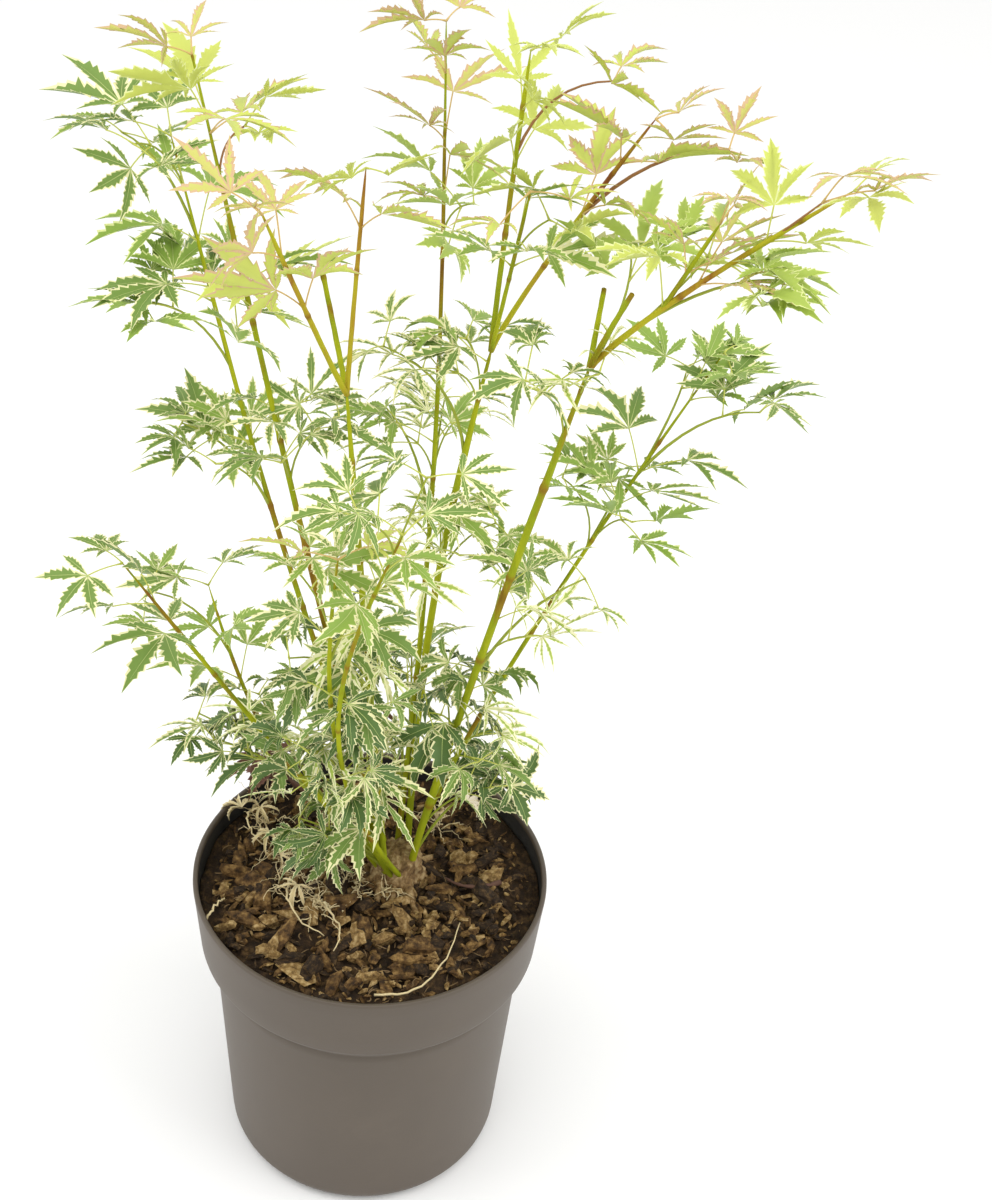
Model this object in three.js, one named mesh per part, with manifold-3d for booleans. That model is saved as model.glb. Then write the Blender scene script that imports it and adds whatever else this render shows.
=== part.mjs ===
// A young palmate-leaved maple: a clump of thin canes from one rootstock, in a round nursery pot.
// Millimetres, +Z up. The origin is the centre of the pot's flat underside, and -Y is the front.
// Each cane, bough and mass of leaves is a closed solid of its own, with a small gap to its neighbours.

import * as THREE from 'three';
import { mergeVertices } from 'three/addons/utils/BufferGeometryUtils.js';
import Module from 'manifold-3d';

const wasm = await Module();
wasm.setup();

// ---- Driving sizes ----

const GAP = 0.35; // clear space kept round every cut or touching piece
const FULL_TURN = 2 * Math.PI;

const POT = {
  rimRadius: 95,
  height: 189,
  wall: 1.8,
  lipWall: 2.8, // the rim is thicker than the wall under it
  lipHeight: 4,
  collarHeight: 41.6, // the wide band under the rim
  collarFootRadius: 91.8,
  stepHeight: 4.8, // the slope in from the band to the body
  bodyTopRadius: 84.6,
  bodyFootRadius: 77.5,
  footRounding: 11,
  floor: 5.2,
  segments: 32,
  notches: 8, // drain notches round the foot
  notchWidth: 27,
  notchHeight: 3.4,
  notchDepth: 12,
  notchInset: 2, // how far the notches bite into the flat of the foot
};

const SOIL = {
  level: 176,
  clods: 3.2, // height of the lumps in the bark mulch
  coarsePitch: 62, // distance between the larger lumps
  finePitch: 22,
  wallLean: 1.2, // how far the pot's wall has leant in at the mulch's level
  rings: [24, 48, 70],
};

const ROOTSTOCK = {
  centre: new THREE.Vector3(12, 10, SOIL.level),
  flareRadius: 17,
  topRadius: 11.5,
  height: 19,
  buttresses: 5,
  buttressSwell: 0.16,
  lean: 2,
  crown: 2, // height of the domed top
};

// The canes leave the rootstock from a ring of feet just inside its top.
const FOOT = { ringRadius: 9, aboveSoil: 8 };

// azimuth and foot: degrees from +X towards +Y. reach: how far the tip leans out. rise: how high it goes.
// arch: 1 is straight, more leans out late, less leans out early. sway: sideways bow to the left of the lean.
const CANES = [
  {
    name: 'left_back_cane', foot: 125, azimuth: 149, reach: 136, rise: 374,
    arch: 1.23, sway: 16, base: 2.0, tip: 0.9,
  },
  {
    name: 'left_tall_cane', foot: 182, azimuth: 170, reach: 91, rise: 436,
    arch: 1.36, sway: 21, base: 2.2, tip: 1.0,
  },
  {
    name: 'centre_cane', foot: 240, azimuth: -128, reach: 37, rise: 314,
    arch: 0.97, sway: 0, base: 1.9, tip: 1.5,
  },
  {
    name: 'back_tall_cane', foot: 90, azimuth: 90, reach: 80, rise: 433,
    arch: 1.05, sway: -7, base: 1.8, tip: 0.8,
  },
  {
    name: 'middle_cane', foot: 55, azimuth: 42, reach: 35, rise: 303,
    arch: 0.9, sway: 12, base: 2.0, tip: 1.6,
  },
  {
    name: 'right_cane', foot: 335, azimuth: -31, reach: 76, rise: 339,
    arch: 1.11, sway: 1, base: 2.1, tip: 1.7,
  },
  {
    name: 'right_back_cane', foot: 20, azimuth: 29, reach: 154, rise: 287,
    arch: 1.45, sway: -6, base: 1.7, tip: 0.8,
  },
  {
    name: 'front_shoot', foot: 268, azimuth: -107, reach: 82, rise: 264,
    arch: 0.8, sway: -15, base: 1.6, tip: 0.9,
  },
  {
    name: 'front_right_shoot', foot: 298, azimuth: -90, reach: 105, rise: 297,
    arch: 0.8, sway: -29, base: 1.6, tip: 0.9,
  },
  {
    name: 'low_left_cane', foot: 210, azimuth: -169, reach: 125, rise: 209,
    arch: 1.04, sway: 5, base: 1.7, tip: 0.9,
  },
  {
    name: 'low_back_cane', foot: 155, azimuth: 154, reach: 110, rise: 140,
    arch: 0.98, sway: 20, base: 1.6, tip: 0.9,
  },
];

// Boughs fork from the top of a cane, or from a share of the limb given as forkAt. A stub was cut back and
// ends flat.
const BOUGHS = [
  {
    name: 'front_left_bough', from: 'centre_cane', azimuth: -119, reach: 56, rise: 102,
    arch: 0.95, base: 1.3, tip: 0.9,
  },
  {
    name: 'upright_bough', from: 'centre_cane', azimuth: 56, reach: 9, rise: 99,
    arch: 1.1, base: 1.2, tip: 0.8,
  },
  {
    name: 'left_cut_stub', from: 'centre_cane', azimuth: 110, reach: 55, rise: 38,
    arch: 1.07, base: 1.3, tip: 1.1,
  },
  {
    name: 'top_bough', from: 'middle_cane', azimuth: 69, reach: 20, rise: 134,
    arch: 1.2, base: 1.4, tip: 1.0,
  },
  {
    name: 'right_high_bough', from: 'middle_cane', azimuth: -25, reach: 66, rise: 127,
    arch: 1.13, base: 1.4, tip: 0.9,
  },
  {
    name: 'slender_bough', from: 'middle_cane', azimuth: -77, reach: 53, rise: 102,
    arch: 0.98, base: 1.1, tip: 0.8,
  },
  {
    name: 'long_arching_bough', from: 'right_cane', azimuth: -13, reach: 92, rise: 96,
    arch: 1.17, base: 1.5, tip: 0.9,
  },
  {
    name: 'rising_side_bough', from: 'long_arching_bough', forkAt: 0.35,
    azimuth: -10, reach: 17.5, rise: 39.5,
    arch: 1, base: 1.1, tip: 0.8,
  },
  {
    name: 'front_cut_stub', from: 'right_cane', azimuth: -53, reach: 21, rise: 44,
    arch: 1.1, base: 1.3, tip: 1.1,
  },
  {
    name: 'back_cut_stub', from: 'right_cane', azimuth: 83, reach: 34, rise: 20,
    arch: 1.1, base: 1.3, tip: 1.1,
  },
];

const LIMB_SHAPE = {
  sides: 6,
  caneSteps: 6,
  boughSteps: 3,
  taper: 0.7, // under 1, a limb thins fastest near its foot
};

// A mass of leaves hangs on a limb at a share of its length, shifted sideways (x, y, z). spread is its half
// width along x, y and z, and tips the number of leafy points round its edge. One that holds the limb's tip
// ends it, and the limb passes through any other.
const MASSES = [
  {
    name: 'crest_left', on: 'left_tall_cane', at: 1.0,
    shift: [-13, 6, -4], spread: [24, 17, 8], tips: 5, holdsTip: true,
  },
  {
    name: 'shoulder_left', on: 'left_back_cane', at: 0.99,
    shift: [-17, -4, 2], spread: [36, 38, 20], tips: 7, holdsTip: true,
  },
  { name: 'sprig_left', on: 'left_tall_cane', at: 0.93, shift: [17, -5, 3], spread: [17, 15, 8], tips: 5 },
  {
    name: 'tuft_front_left', on: 'front_left_bough', at: 1.0,
    shift: [-9, 3, 3], spread: [29, 28, 12], tips: 6, holdsTip: true,
  },
  {
    name: 'shelf_left', on: 'left_back_cane', at: 0.83,
    shift: [-14, -5, -2], spread: [31, 34, 14], tips: 6,
  },
  { name: 'inner_left', on: 'left_tall_cane', at: 0.78, shift: [8, -4, 2], spread: [28, 28, 13], tips: 7 },
  {
    name: 'flank_left', on: 'left_back_cane', at: 0.64,
    shift: [-19, 3, -8], spread: [30, 40, 22], tips: 6,
  },
  { name: 'heart_left', on: 'left_tall_cane', at: 0.64, shift: [12, -4, 0], spread: [27, 32, 20], tips: 7 },
  {
    name: 'arm_tip', on: 'low_left_cane', at: 1.0,
    shift: [-20, 0, -12], spread: [38, 33, 11], tips: 5, holdsTip: true,
  },
  {
    name: 'arm_middle', on: 'low_back_cane', at: 0.97,
    shift: [-6, -10, 6], spread: [36, 38, 19], tips: 7, holdsTip: true,
  },
  {
    name: 'tuft_centre', on: 'upright_bough', at: 0.97,
    shift: [0, 0, 0], spread: [25, 23, 9], tips: 5, holdsTip: true,
  },
  {
    name: 'crest_back', on: 'back_tall_cane', at: 0.97,
    shift: [-11, -3, -2], spread: [28, 26, 20], tips: 5, holdsTip: true,
  },
  { name: 'waist_back', on: 'back_tall_cane', at: 0.82, shift: [-4, -6, 0], spread: [26, 26, 14], tips: 6 },
  {
    name: 'crest_right', on: 'top_bough', at: 0.97,
    shift: [12, 0, -1], spread: [41, 33, 16], tips: 7, holdsTip: true,
  },
  {
    name: 'tuft_right', on: 'right_high_bough', at: 0.95,
    shift: [15, 4, -6], spread: [42, 34, 14], tips: 7, holdsTip: true,
  },
  {
    name: 'far_tip', on: 'long_arching_bough', at: 1.0,
    shift: [12, 1, 0], spread: [40, 33, 12], tips: 6, holdsTip: true,
  },
  {
    name: 'far_under', on: 'long_arching_bough', at: 0.6,
    shift: [9, 0, -9], spread: [25, 26, 11], tips: 5,
  },
  {
    name: 'far_over', on: 'rising_side_bough', at: 1.0,
    shift: [7, 2, 15], spread: [23, 22, 14], tips: 5, holdsTip: true,
  },
  {
    name: 'inner_right', on: 'long_arching_bough', at: 0.35,
    shift: [-5, 28, 8], spread: [32, 30, 12], tips: 7,
  },
  {
    name: 'middle_right', on: 'slender_bough', at: 0.85,
    shift: [3, -4, -2], spread: [28, 30, 16], tips: 6, holdsTip: true,
  },
  { name: 'heart_centre', on: 'middle_cane', at: 0.98, shift: [-26, 6, 3], spread: [38, 36, 18], tips: 7 },
  { name: 'heart_right', on: 'right_cane', at: 0.97, shift: [-5, -8, 6], spread: [28, 26, 14], tips: 6 },
  {
    name: 'side_right', on: 'right_back_cane', at: 0.97,
    shift: [8, 3, -7], spread: [47, 42, 16], tips: 7, holdsTip: true,
  },
  {
    name: 'front_centre', on: 'front_right_shoot', at: 1.0,
    shift: [-6, 14, 10], spread: [34, 32, 15], tips: 7, holdsTip: true,
  },
  {
    name: 'core', on: 'front_shoot', at: 0.98,
    shift: [4, 22, -18], spread: [36, 31, 19], tips: 6, holdsTip: true,
  },
  {
    name: 'flank_right', on: 'right_back_cane', at: 0.74,
    shift: [-9, 2, 2], spread: [43, 36, 16], tips: 7,
  },
  { name: 'hip_right', on: 'right_cane', at: 0.56, shift: [22, 20, -3], spread: [32, 36, 22], tips: 6 },
  { name: 'belly', on: 'middle_cane', at: 0.63, shift: [2, 6, 0], spread: [36, 36, 24], tips: 7 },
  {
    name: 'waist_low_back', on: 'back_tall_cane', at: 0.55,
    shift: [-10, 24, -4], spread: [36, 36, 20], tips: 7,
  },
  {
    name: 'skirt_middle', on: 'centre_cane', at: 0.55,
    shift: [-9, -18, -3], spread: [37, 30, 17], tips: 7,
  },
  { name: 'skirt_front', on: 'front_shoot', at: 0.4, shift: [-4, -4, 0], spread: [37, 33, 38], tips: 6 },
  {
    name: 'skirt_left', on: 'low_left_cane', at: 0.48,
    shift: [-20, 24, -8], spread: [32, 34, 20], tips: 6,
  },
  { name: 'skirt_right', on: 'right_cane', at: 0.34, shift: [4, 4, 0], spread: [31, 34, 35], tips: 6 },
  {
    name: 'skirt_back', on: 'back_tall_cane', at: 0.25,
    shift: [-22, 36, -8], spread: [42, 36, 24], tips: 7,
  },
  { name: 'hem_front', on: 'front_shoot', at: 0.13, shift: [-27, 7, 4], spread: [28, 25, 23], tips: 5 },
  { name: 'hem_right', on: 'right_cane', at: 0.17, shift: [24, 24, 0], spread: [24, 26, 16], tips: 5 },
];

const MASS_SHAPE = {
  thinLevels: 3, // rings of corners between the two poles of a thin pad
  thickLevels: 4,
  thick: 20, // half height from which a mass counts as thick
  cornersPerTip: 2,
  plumpness: 0.7, // under 1, the upper and lower levels are fuller than a ball's
  tipReach: 0.13, // how far each leafy point stands out, as a share of the spread
  unevenness: 0.12, // slower swell and dip round the edge
  crossSwell: 0.08, // swell and dip from level to level
  droop: 0.2, // the outer side hangs this much lower than the inner side
  edgeFall: 0.45, // the edge arches down by this share of the half height
};

const COLOURS = {
  pot: 0x6d655a,
  mulch: 0x4a3623,
  rootstock: 0x6f5232,
  greenBark: 0x97a32c,
  redBark: 0x8a5a33,
  shadeLeaf: 0x55784a,
  crestLeaf: 0xb7c95c,
};

const GROUND_CLEAR = 1; // the lowest leaves stay this far above the mulch and the rim
const CREST_HEIGHT = 530; // masses centred above this carry the young yellow-green leaves

// ---- Closed solids, cut and joined ----

function solidOf(geometry) {
  const bare = geometry.clone();
  bare.deleteAttribute('normal');
  bare.deleteAttribute('uv');
  const merged = mergeVertices(bare, 1e-4);
  const mesh = new wasm.Mesh({
    numProp: 3,
    vertProperties: new Float32Array(merged.attributes.position.array),
    triVerts: new Uint32Array(merged.index.array),
  });
  return new wasm.Manifold(mesh);
}

// A cut can leave a loose sliver beside the main body, so only the largest body is kept.
function largestBody(solid) {
  const bodies = solid.decompose();
  return bodies.reduce((best, body) => (body.volume() > best.volume() ? body : best));
}

function cutBy(solid, others) {
  return others.reduce((left, other) => left.subtract(other), solid);
}

function meshFrom(solid, name, color, roughness) {
  const { vertProperties, triVerts } = largestBody(solid).getMesh();
  const geometry = new THREE.BufferGeometry();
  geometry.setAttribute('position', new THREE.BufferAttribute(new Float32Array(vertProperties), 3));
  geometry.setIndex(new THREE.BufferAttribute(new Uint32Array(triVerts), 1));
  geometry.computeVertexNormals();
  const material = new THREE.MeshStandardMaterial({ color, roughness, metalness: 0 });
  const mesh = new THREE.Mesh(geometry, material);
  mesh.name = name;
  return mesh;
}

// Rings of corners from a first pole to a last pole, closed into one body. Each ring turns the same way.
function closedBody(firstPole, rings, lastPole) {
  const corners = rings[0].length;
  const points = [firstPole, ...rings.flat(), lastPole];
  const lastIndex = points.length - 1;
  const at = (ring, corner) => 1 + ring * corners + (corner % corners);
  const triangles = [];
  for (let corner = 0; corner < corners; corner += 1) {
    triangles.push(0, at(0, corner + 1), at(0, corner));
    triangles.push(lastIndex, at(rings.length - 1, corner), at(rings.length - 1, corner + 1));
    for (let ring = 0; ring + 1 < rings.length; ring += 1) {
      triangles.push(at(ring, corner), at(ring, corner + 1), at(ring + 1, corner));
      triangles.push(at(ring, corner + 1), at(ring + 1, corner + 1), at(ring + 1, corner));
    }
  }
  const geometry = new THREE.BufferGeometry();
  const positions = points.flatMap((point) => point.toArray());
  geometry.setAttribute('position', new THREE.Float32BufferAttribute(positions, 3));
  geometry.setIndex(triangles);
  return geometry;
}

// ---- Pot and mulch ----

const footFlatRadius = POT.bodyFootRadius - POT.footRounding;
const collarFootHeight = POT.height - POT.collarHeight;
const bodyTopHeight = collarFootHeight - POT.stepHeight;

// The quarter turn from the flat underside up into the side, in count steps.
function footCurve(count) {
  const points = [];
  for (let i = 0; i <= count; i += 1) {
    const angle = (Math.PI / 2) * (i / count);
    const x = footFlatRadius + POT.footRounding * Math.sin(angle);
    const y = POT.footRounding * (1 - Math.cos(angle));
    points.push(new THREE.Vector2(x, y));
  }
  return points;
}

function innerWall(inset) {
  const wall = POT.wall + inset;
  const lip = POT.lipWall + inset;
  return [
    new THREE.Vector2(POT.rimRadius - lip, POT.height),
    new THREE.Vector2(POT.rimRadius - lip, POT.height - POT.lipHeight),
    new THREE.Vector2(POT.rimRadius - wall, POT.height - POT.lipHeight - 1),
    new THREE.Vector2(POT.collarFootRadius - wall, collarFootHeight),
    new THREE.Vector2(POT.bodyTopRadius - wall, bodyTopHeight),
    new THREE.Vector2(POT.bodyFootRadius - wall, POT.footRounding),
    new THREE.Vector2(footFlatRadius, POT.floor + inset),
  ];
}

function latheSolid(profile) {
  const lathe = new THREE.LatheGeometry(profile, POT.segments);
  lathe.rotateX(Math.PI / 2);
  return solidOf(lathe);
}

function potSolid() {
  const outside = [
    new THREE.Vector2(0, 0),
    ...footCurve(2),
    new THREE.Vector2(POT.bodyTopRadius, bodyTopHeight),
    new THREE.Vector2(POT.collarFootRadius, collarFootHeight),
    new THREE.Vector2(POT.rimRadius, POT.height),
  ];
  const profile = [...outside, ...innerWall(0), new THREE.Vector2(0, POT.floor)];
  const notches = [];
  for (let i = 0; i < POT.notches; i += 1) {
    const box = new THREE.BoxGeometry(POT.notchDepth, POT.notchWidth, 2 * POT.notchHeight);
    const notchCentre = footFlatRadius - POT.notchInset + POT.notchDepth / 2;
    box.translate(notchCentre, 0, 0);
    box.rotateZ(((i + 0.5) * FULL_TURN) / POT.notches);
    notches.push(solidOf(box));
  }
  return cutBy(latheSolid(profile), notches);
}

function clodHeight(x, y) {
  const coarseTurn = FULL_TURN / SOIL.coarsePitch;
  const fineTurn = FULL_TURN / SOIL.finePitch;
  const coarse = Math.sin(coarseTurn * x + 1) * Math.cos(coarseTurn * y);
  const fine = Math.sin(fineTurn * (x - y) * Math.SQRT1_2);
  return SOIL.clods * (0.5 + 0.28 * coarse + 0.2 * fine);
}

function mulchSolid() {
  const wall = innerWall(GAP);
  const lowerWall = wall.slice(3).reverse();
  const topRadius = POT.rimRadius - POT.wall - GAP - SOIL.wallLean;
  const ringAt = (radius, heightAt) => {
    const ring = [];
    for (let i = 0; i < POT.segments; i += 1) {
      const angle = (i * FULL_TURN) / POT.segments;
      const x = radius * Math.sin(angle);
      const y = radius * Math.cos(angle);
      ring.push(new THREE.Vector3(x, y, heightAt(x, y)));
    }
    return ring.reverse();
  };
  const surface = (x, y) => SOIL.level + clodHeight(x, y);
  const sides = lowerWall.map((point) => ringAt(point.x, () => point.y));
  const top = [topRadius, ...[...SOIL.rings].reverse()].map((radius) => ringAt(radius, surface));
  const bottomPole = new THREE.Vector3(0, 0, POT.floor + GAP);
  const topPole = new THREE.Vector3(0, 0, surface(0, 0));
  return solidOf(closedBody(bottomPole, [...sides, ...top], topPole));
}

// ---- Rootstock ----

function rootstockSolid(grow) {
  const levels = [0, 0.3, 0.65, 1]; // shares of its height
  const corners = 3 * ROOTSTOCK.buttresses;
  const rings = levels.map((level) => {
    const ring = [];
    for (let i = 0; i < corners; i += 1) {
      const angle = (i * FULL_TURN) / corners;
      const flare = (1 - level) ** 2;
      const swell = 1 + ROOTSTOCK.buttressSwell * flare * Math.cos(ROOTSTOCK.buttresses * angle);
      const body = ROOTSTOCK.topRadius + (ROOTSTOCK.flareRadius - ROOTSTOCK.topRadius) * flare;
      const radius = body * swell + grow;
      const x = ROOTSTOCK.centre.x + radius * Math.cos(angle) + ROOTSTOCK.lean * level;
      const y = ROOTSTOCK.centre.y + radius * Math.sin(angle);
      const z = ROOTSTOCK.centre.z + ROOTSTOCK.height * level + (level > 0 ? grow : -grow);
      ring.push(new THREE.Vector3(x, y, z));
    }
    return ring;
  });
  const base = ROOTSTOCK.centre.clone().setZ(ROOTSTOCK.centre.z - grow);
  const top = ROOTSTOCK.centre.clone();
  top.x += ROOTSTOCK.lean;
  top.z += ROOTSTOCK.height + ROOTSTOCK.crown + grow;
  return solidOf(closedBody(base, rings, top));
}

// ---- Canes and boughs ----

// A limb's centre line: it rises evenly while it leans out along its azimuth and sways to one side.
class LimbLine extends THREE.Curve {
  constructor(start, size) {
    super();
    this.start = start;
    this.size = size;
    const azimuth = THREE.MathUtils.degToRad(size.azimuth);
    this.out = new THREE.Vector3(Math.cos(azimuth), Math.sin(azimuth), 0);
    this.left = new THREE.Vector3(-Math.sin(azimuth), Math.cos(azimuth), 0);
  }

  getPoint(t, target = new THREE.Vector3()) {
    const { reach, rise, arch, sway = 0 } = this.size;
    target.copy(this.start);
    target.addScaledVector(this.out, reach * t ** arch);
    target.addScaledVector(this.left, sway * Math.sin(Math.PI * t));
    target.z += rise * t;
    return target;
  }
}

function middleOf(ring) {
  const sum = ring.reduce((total, corner) => total.add(corner), new THREE.Vector3());
  return sum.divideScalar(ring.length);
}

function limbSolid(limb, grow) {
  const { line, steps, size } = limb;
  const rings = [];
  for (let step = 0; step <= steps; step += 1) {
    const t = step / steps;
    const centre = line.getPoint(t);
    const along = line.getTangent(THREE.MathUtils.clamp(t, 0.02, 0.98)); // steady at both ends
    if (step === 0) centre.addScaledVector(along, -grow);
    if (step === steps) centre.addScaledVector(along, grow);
    const across = new THREE.Vector3(0, 1, 0).cross(along).normalize();
    const up = along.clone().cross(across);
    const radius = THREE.MathUtils.lerp(size.base, size.tip, t ** LIMB_SHAPE.taper) + grow;
    const ring = [];
    for (let i = 0; i < LIMB_SHAPE.sides; i += 1) {
      const angle = (i * FULL_TURN) / LIMB_SHAPE.sides;
      const corner = centre.clone();
      corner.addScaledVector(across, radius * Math.cos(angle));
      corner.addScaledVector(up, radius * Math.sin(angle));
      ring.push(corner);
    }
    rings.push(ring);
  }
  return solidOf(closedBody(middleOf(rings[0]), rings, middleOf(rings[steps])));
}

function growLimbs() {
  const limbs = new Map();
  for (const size of CANES) {
    const foot = THREE.MathUtils.degToRad(size.foot);
    const start = ROOTSTOCK.centre.clone();
    start.x += FOOT.ringRadius * Math.cos(foot);
    start.y += FOOT.ringRadius * Math.sin(foot);
    start.z += FOOT.aboveSoil;
    const line = new LimbLine(start, size);
    limbs.set(size.name, { line, size, steps: LIMB_SHAPE.caneSteps });
  }
  for (const size of BOUGHS) {
    const line = new LimbLine(limbs.get(size.from).line.getPoint(size.forkAt ?? 1), size);
    limbs.set(size.name, { line, size, steps: LIMB_SHAPE.boughSteps });
  }
  return limbs;
}

// ---- Masses of leaves ----

function massCentre(mass, limbs) {
  return limbs.get(mass.on).line.getPoint(mass.at).add(new THREE.Vector3(...mass.shift));
}

// An uneven pad: its edge runs out to leafy points, its levels swell and dip, and its outer side hangs lower.
function massSolid(mass, centre, order, grow) {
  const corners = mass.tips * MASS_SHAPE.cornersPerTip;
  const outward = new THREE.Vector2(centre.x - ROOTSTOCK.centre.x, centre.y - ROOTSTOCK.centre.y).normalize();
  const [wide, deep, high] = mass.spread;
  const place = (side, height, angle) => {
    const x = (wide + grow) * side * Math.cos(angle);
    const y = (deep + grow) * side * Math.sin(angle);
    const sag = MASS_SHAPE.droop * (x * outward.x + y * outward.y);
    const fall = MASS_SHAPE.edgeFall * high * (side ** 2 - 0.5); // the middle stays near its centre
    const z = centre.z + (high + grow) * height - sag - fall;
    return new THREE.Vector3(centre.x + x, centre.y + y, z);
  };
  const levels = high < MASS_SHAPE.thick ? MASS_SHAPE.thinLevels : MASS_SHAPE.thickLevels;
  const rings = [];
  for (let level = 0; level < levels; level += 1) {
    const latitude = Math.PI * ((level + 0.9) / (levels + 0.8) - 0.5);
    const ring = [];
    for (let i = 0; i < corners; i += 1) {
      const angle = (i * FULL_TURN) / corners + order;
      const point = MASS_SHAPE.tipReach * (i % MASS_SHAPE.cornersPerTip === 0 ? 1 : -1);
      const swell = MASS_SHAPE.unevenness * Math.sin(2 * angle + 1.7 * order);
      const cross = MASS_SHAPE.crossSwell * Math.sin(3 * angle + 2.3 * level + order);
      const fullness = Math.cos(latitude) ** MASS_SHAPE.plumpness;
      const side = fullness * (1 + point * Math.cos(latitude) + swell + cross);
      ring.push(place(side, Math.sin(latitude) * (1 - cross), angle));
    }
    rings.push(ring);
  }
  return solidOf(closedBody(place(0, -1, 0), rings, place(0, 1, 0)));
}

// ---- Assembly ----

const plant = new THREE.Group();
const rootstock = rootstockSolid(0);
const rootstockClear = rootstockSolid(GAP);
const potPiece = potSolid();
const mulchPiece = cutBy(mulchSolid(), [rootstockClear]);
const limbs = growLimbs();

const masses = MASSES.map((mass, order) => {
  const centre = massCentre(mass, limbs);
  const body = massSolid(mass, centre, order, 0);
  const clear = massSolid(mass, centre, order, GAP);
  return { ...mass, centre, body, clear };
});

plant.add(meshFrom(potPiece, 'pot', COLOURS.pot, 0.5));
plant.add(meshFrom(mulchPiece, 'bark_mulch', COLOURS.mulch, 0.95));
plant.add(meshFrom(rootstock, 'rootstock', COLOURS.rootstock, 0.85));

const limbClears = [];
for (const [name, limb] of limbs) {
  const ending = masses.filter((mass) => mass.holdsTip && mass.on === name).map((mass) => mass.clear);
  const piece = cutBy(limbSolid(limb, 0), [rootstockClear, ...limbClears, ...ending]);
  limbClears.push(limbSolid(limb, GAP));
  const color = limb.size.from ? COLOURS.redBark : COLOURS.greenBark;
  plant.add(meshFrom(piece, name, color, 0.6));
}

// The ground the lowest leaves hang over: the mulch and the pot, with a clear space above them.
const ground = [potPiece, mulchPiece, rootstock].map((piece) => piece.translate([0, 0, GROUND_CLEAR]));

const massClears = [];
for (const mass of masses) {
  const piece = cutBy(mass.body, [...limbClears, ...massClears, ...ground]);
  massClears.push(mass.clear);
  const color = mass.centre.z > CREST_HEIGHT ? COLOURS.crestLeaf : COLOURS.shadeLeaf;
  plant.add(meshFrom(piece, mass.name, color, 0.8));
}

export default plant;
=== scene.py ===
"""A young palmate-leaved maple in a nursery pot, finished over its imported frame.

Everything is in metres, +Z up, with the origin at the centre of the pot's flat underside and -Y at the front.
The canes and boughs follow the same centre lines as their solids, and each mass of leaves is grown on from
its limb by a seeded rule: side shoots, opposite pairs of leaf stalks, and five- or seven-lobed leaves.
"""

from __future__ import annotations

import logging
import math
from dataclasses import dataclass, field
from enum import Enum
from typing import Sequence

import bpy
import numpy as np
from mathutils import Matrix, Vector

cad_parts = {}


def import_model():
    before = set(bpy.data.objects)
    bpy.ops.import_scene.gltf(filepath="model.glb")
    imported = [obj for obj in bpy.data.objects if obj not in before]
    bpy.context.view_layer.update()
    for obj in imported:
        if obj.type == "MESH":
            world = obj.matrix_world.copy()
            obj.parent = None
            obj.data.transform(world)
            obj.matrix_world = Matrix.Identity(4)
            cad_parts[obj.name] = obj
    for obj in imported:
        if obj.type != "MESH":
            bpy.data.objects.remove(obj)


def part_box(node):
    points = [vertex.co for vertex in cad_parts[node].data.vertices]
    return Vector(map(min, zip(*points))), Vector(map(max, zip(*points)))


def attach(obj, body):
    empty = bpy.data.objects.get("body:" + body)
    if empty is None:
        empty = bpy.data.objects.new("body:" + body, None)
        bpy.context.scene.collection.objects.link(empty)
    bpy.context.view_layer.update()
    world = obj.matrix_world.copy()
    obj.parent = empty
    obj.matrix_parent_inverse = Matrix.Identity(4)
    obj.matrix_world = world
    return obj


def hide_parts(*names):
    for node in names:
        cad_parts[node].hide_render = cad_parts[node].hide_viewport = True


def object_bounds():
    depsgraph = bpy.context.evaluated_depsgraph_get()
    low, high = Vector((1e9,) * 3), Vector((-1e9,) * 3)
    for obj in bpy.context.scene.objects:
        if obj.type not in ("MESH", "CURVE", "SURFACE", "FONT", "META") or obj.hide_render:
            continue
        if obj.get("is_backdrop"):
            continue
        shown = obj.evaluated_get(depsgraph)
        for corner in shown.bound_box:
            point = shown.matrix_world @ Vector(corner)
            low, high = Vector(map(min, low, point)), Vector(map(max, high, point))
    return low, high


log = logging.getLogger("maple")

Array = np.ndarray
Rgb = tuple[float, float, float]
Span = tuple[float, float]

MM = 0.001
SEED = 2718
TURN = 2 * math.pi
UP = np.array([0.0, 0.0, 1.0])


# ---- Small helpers on arrays ----


def unit(vectors: Array) -> Array:
    """Each vector divided by its length, v / |v|."""
    length = np.linalg.norm(vectors, axis=-1, keepdims=True)
    return vectors / np.maximum(length, 1e-12)


def smooth_step(x: Array) -> Array:
    """The smooth rise 3x^2 - 2x^3 from 0 to 1, held outside."""
    x = np.clip(x, 0.0, 1.0)
    return x * x * (3.0 - 2.0 * x)


def ripple(points: Array, pitch: float, seed: int) -> Array:
    """A smooth uneven field from about -1 to 1.

    The field is the mean of five sine waves, sin(2 pi (d . p) / pitch_i + phase_i), with seeded directions d
    and pitches that fall from one wave to the next.

    Args:
        points: Places to read, with x, y, z last.
        pitch: Longest distance between crests.
        seed: Which field.

    Returns:
        One value for each place.
    """
    rng = np.random.default_rng(seed)
    waves = 5
    directions = unit(rng.normal(size=(waves, 3)))
    pitches = pitch / (1.0 + 0.55 * np.arange(waves))
    phases = rng.uniform(0.0, TURN, waves)
    return np.sin(points @ directions.T * TURN / pitches + phases).sum(axis=-1) / 2.6


# ---- Meshes ----


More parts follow.
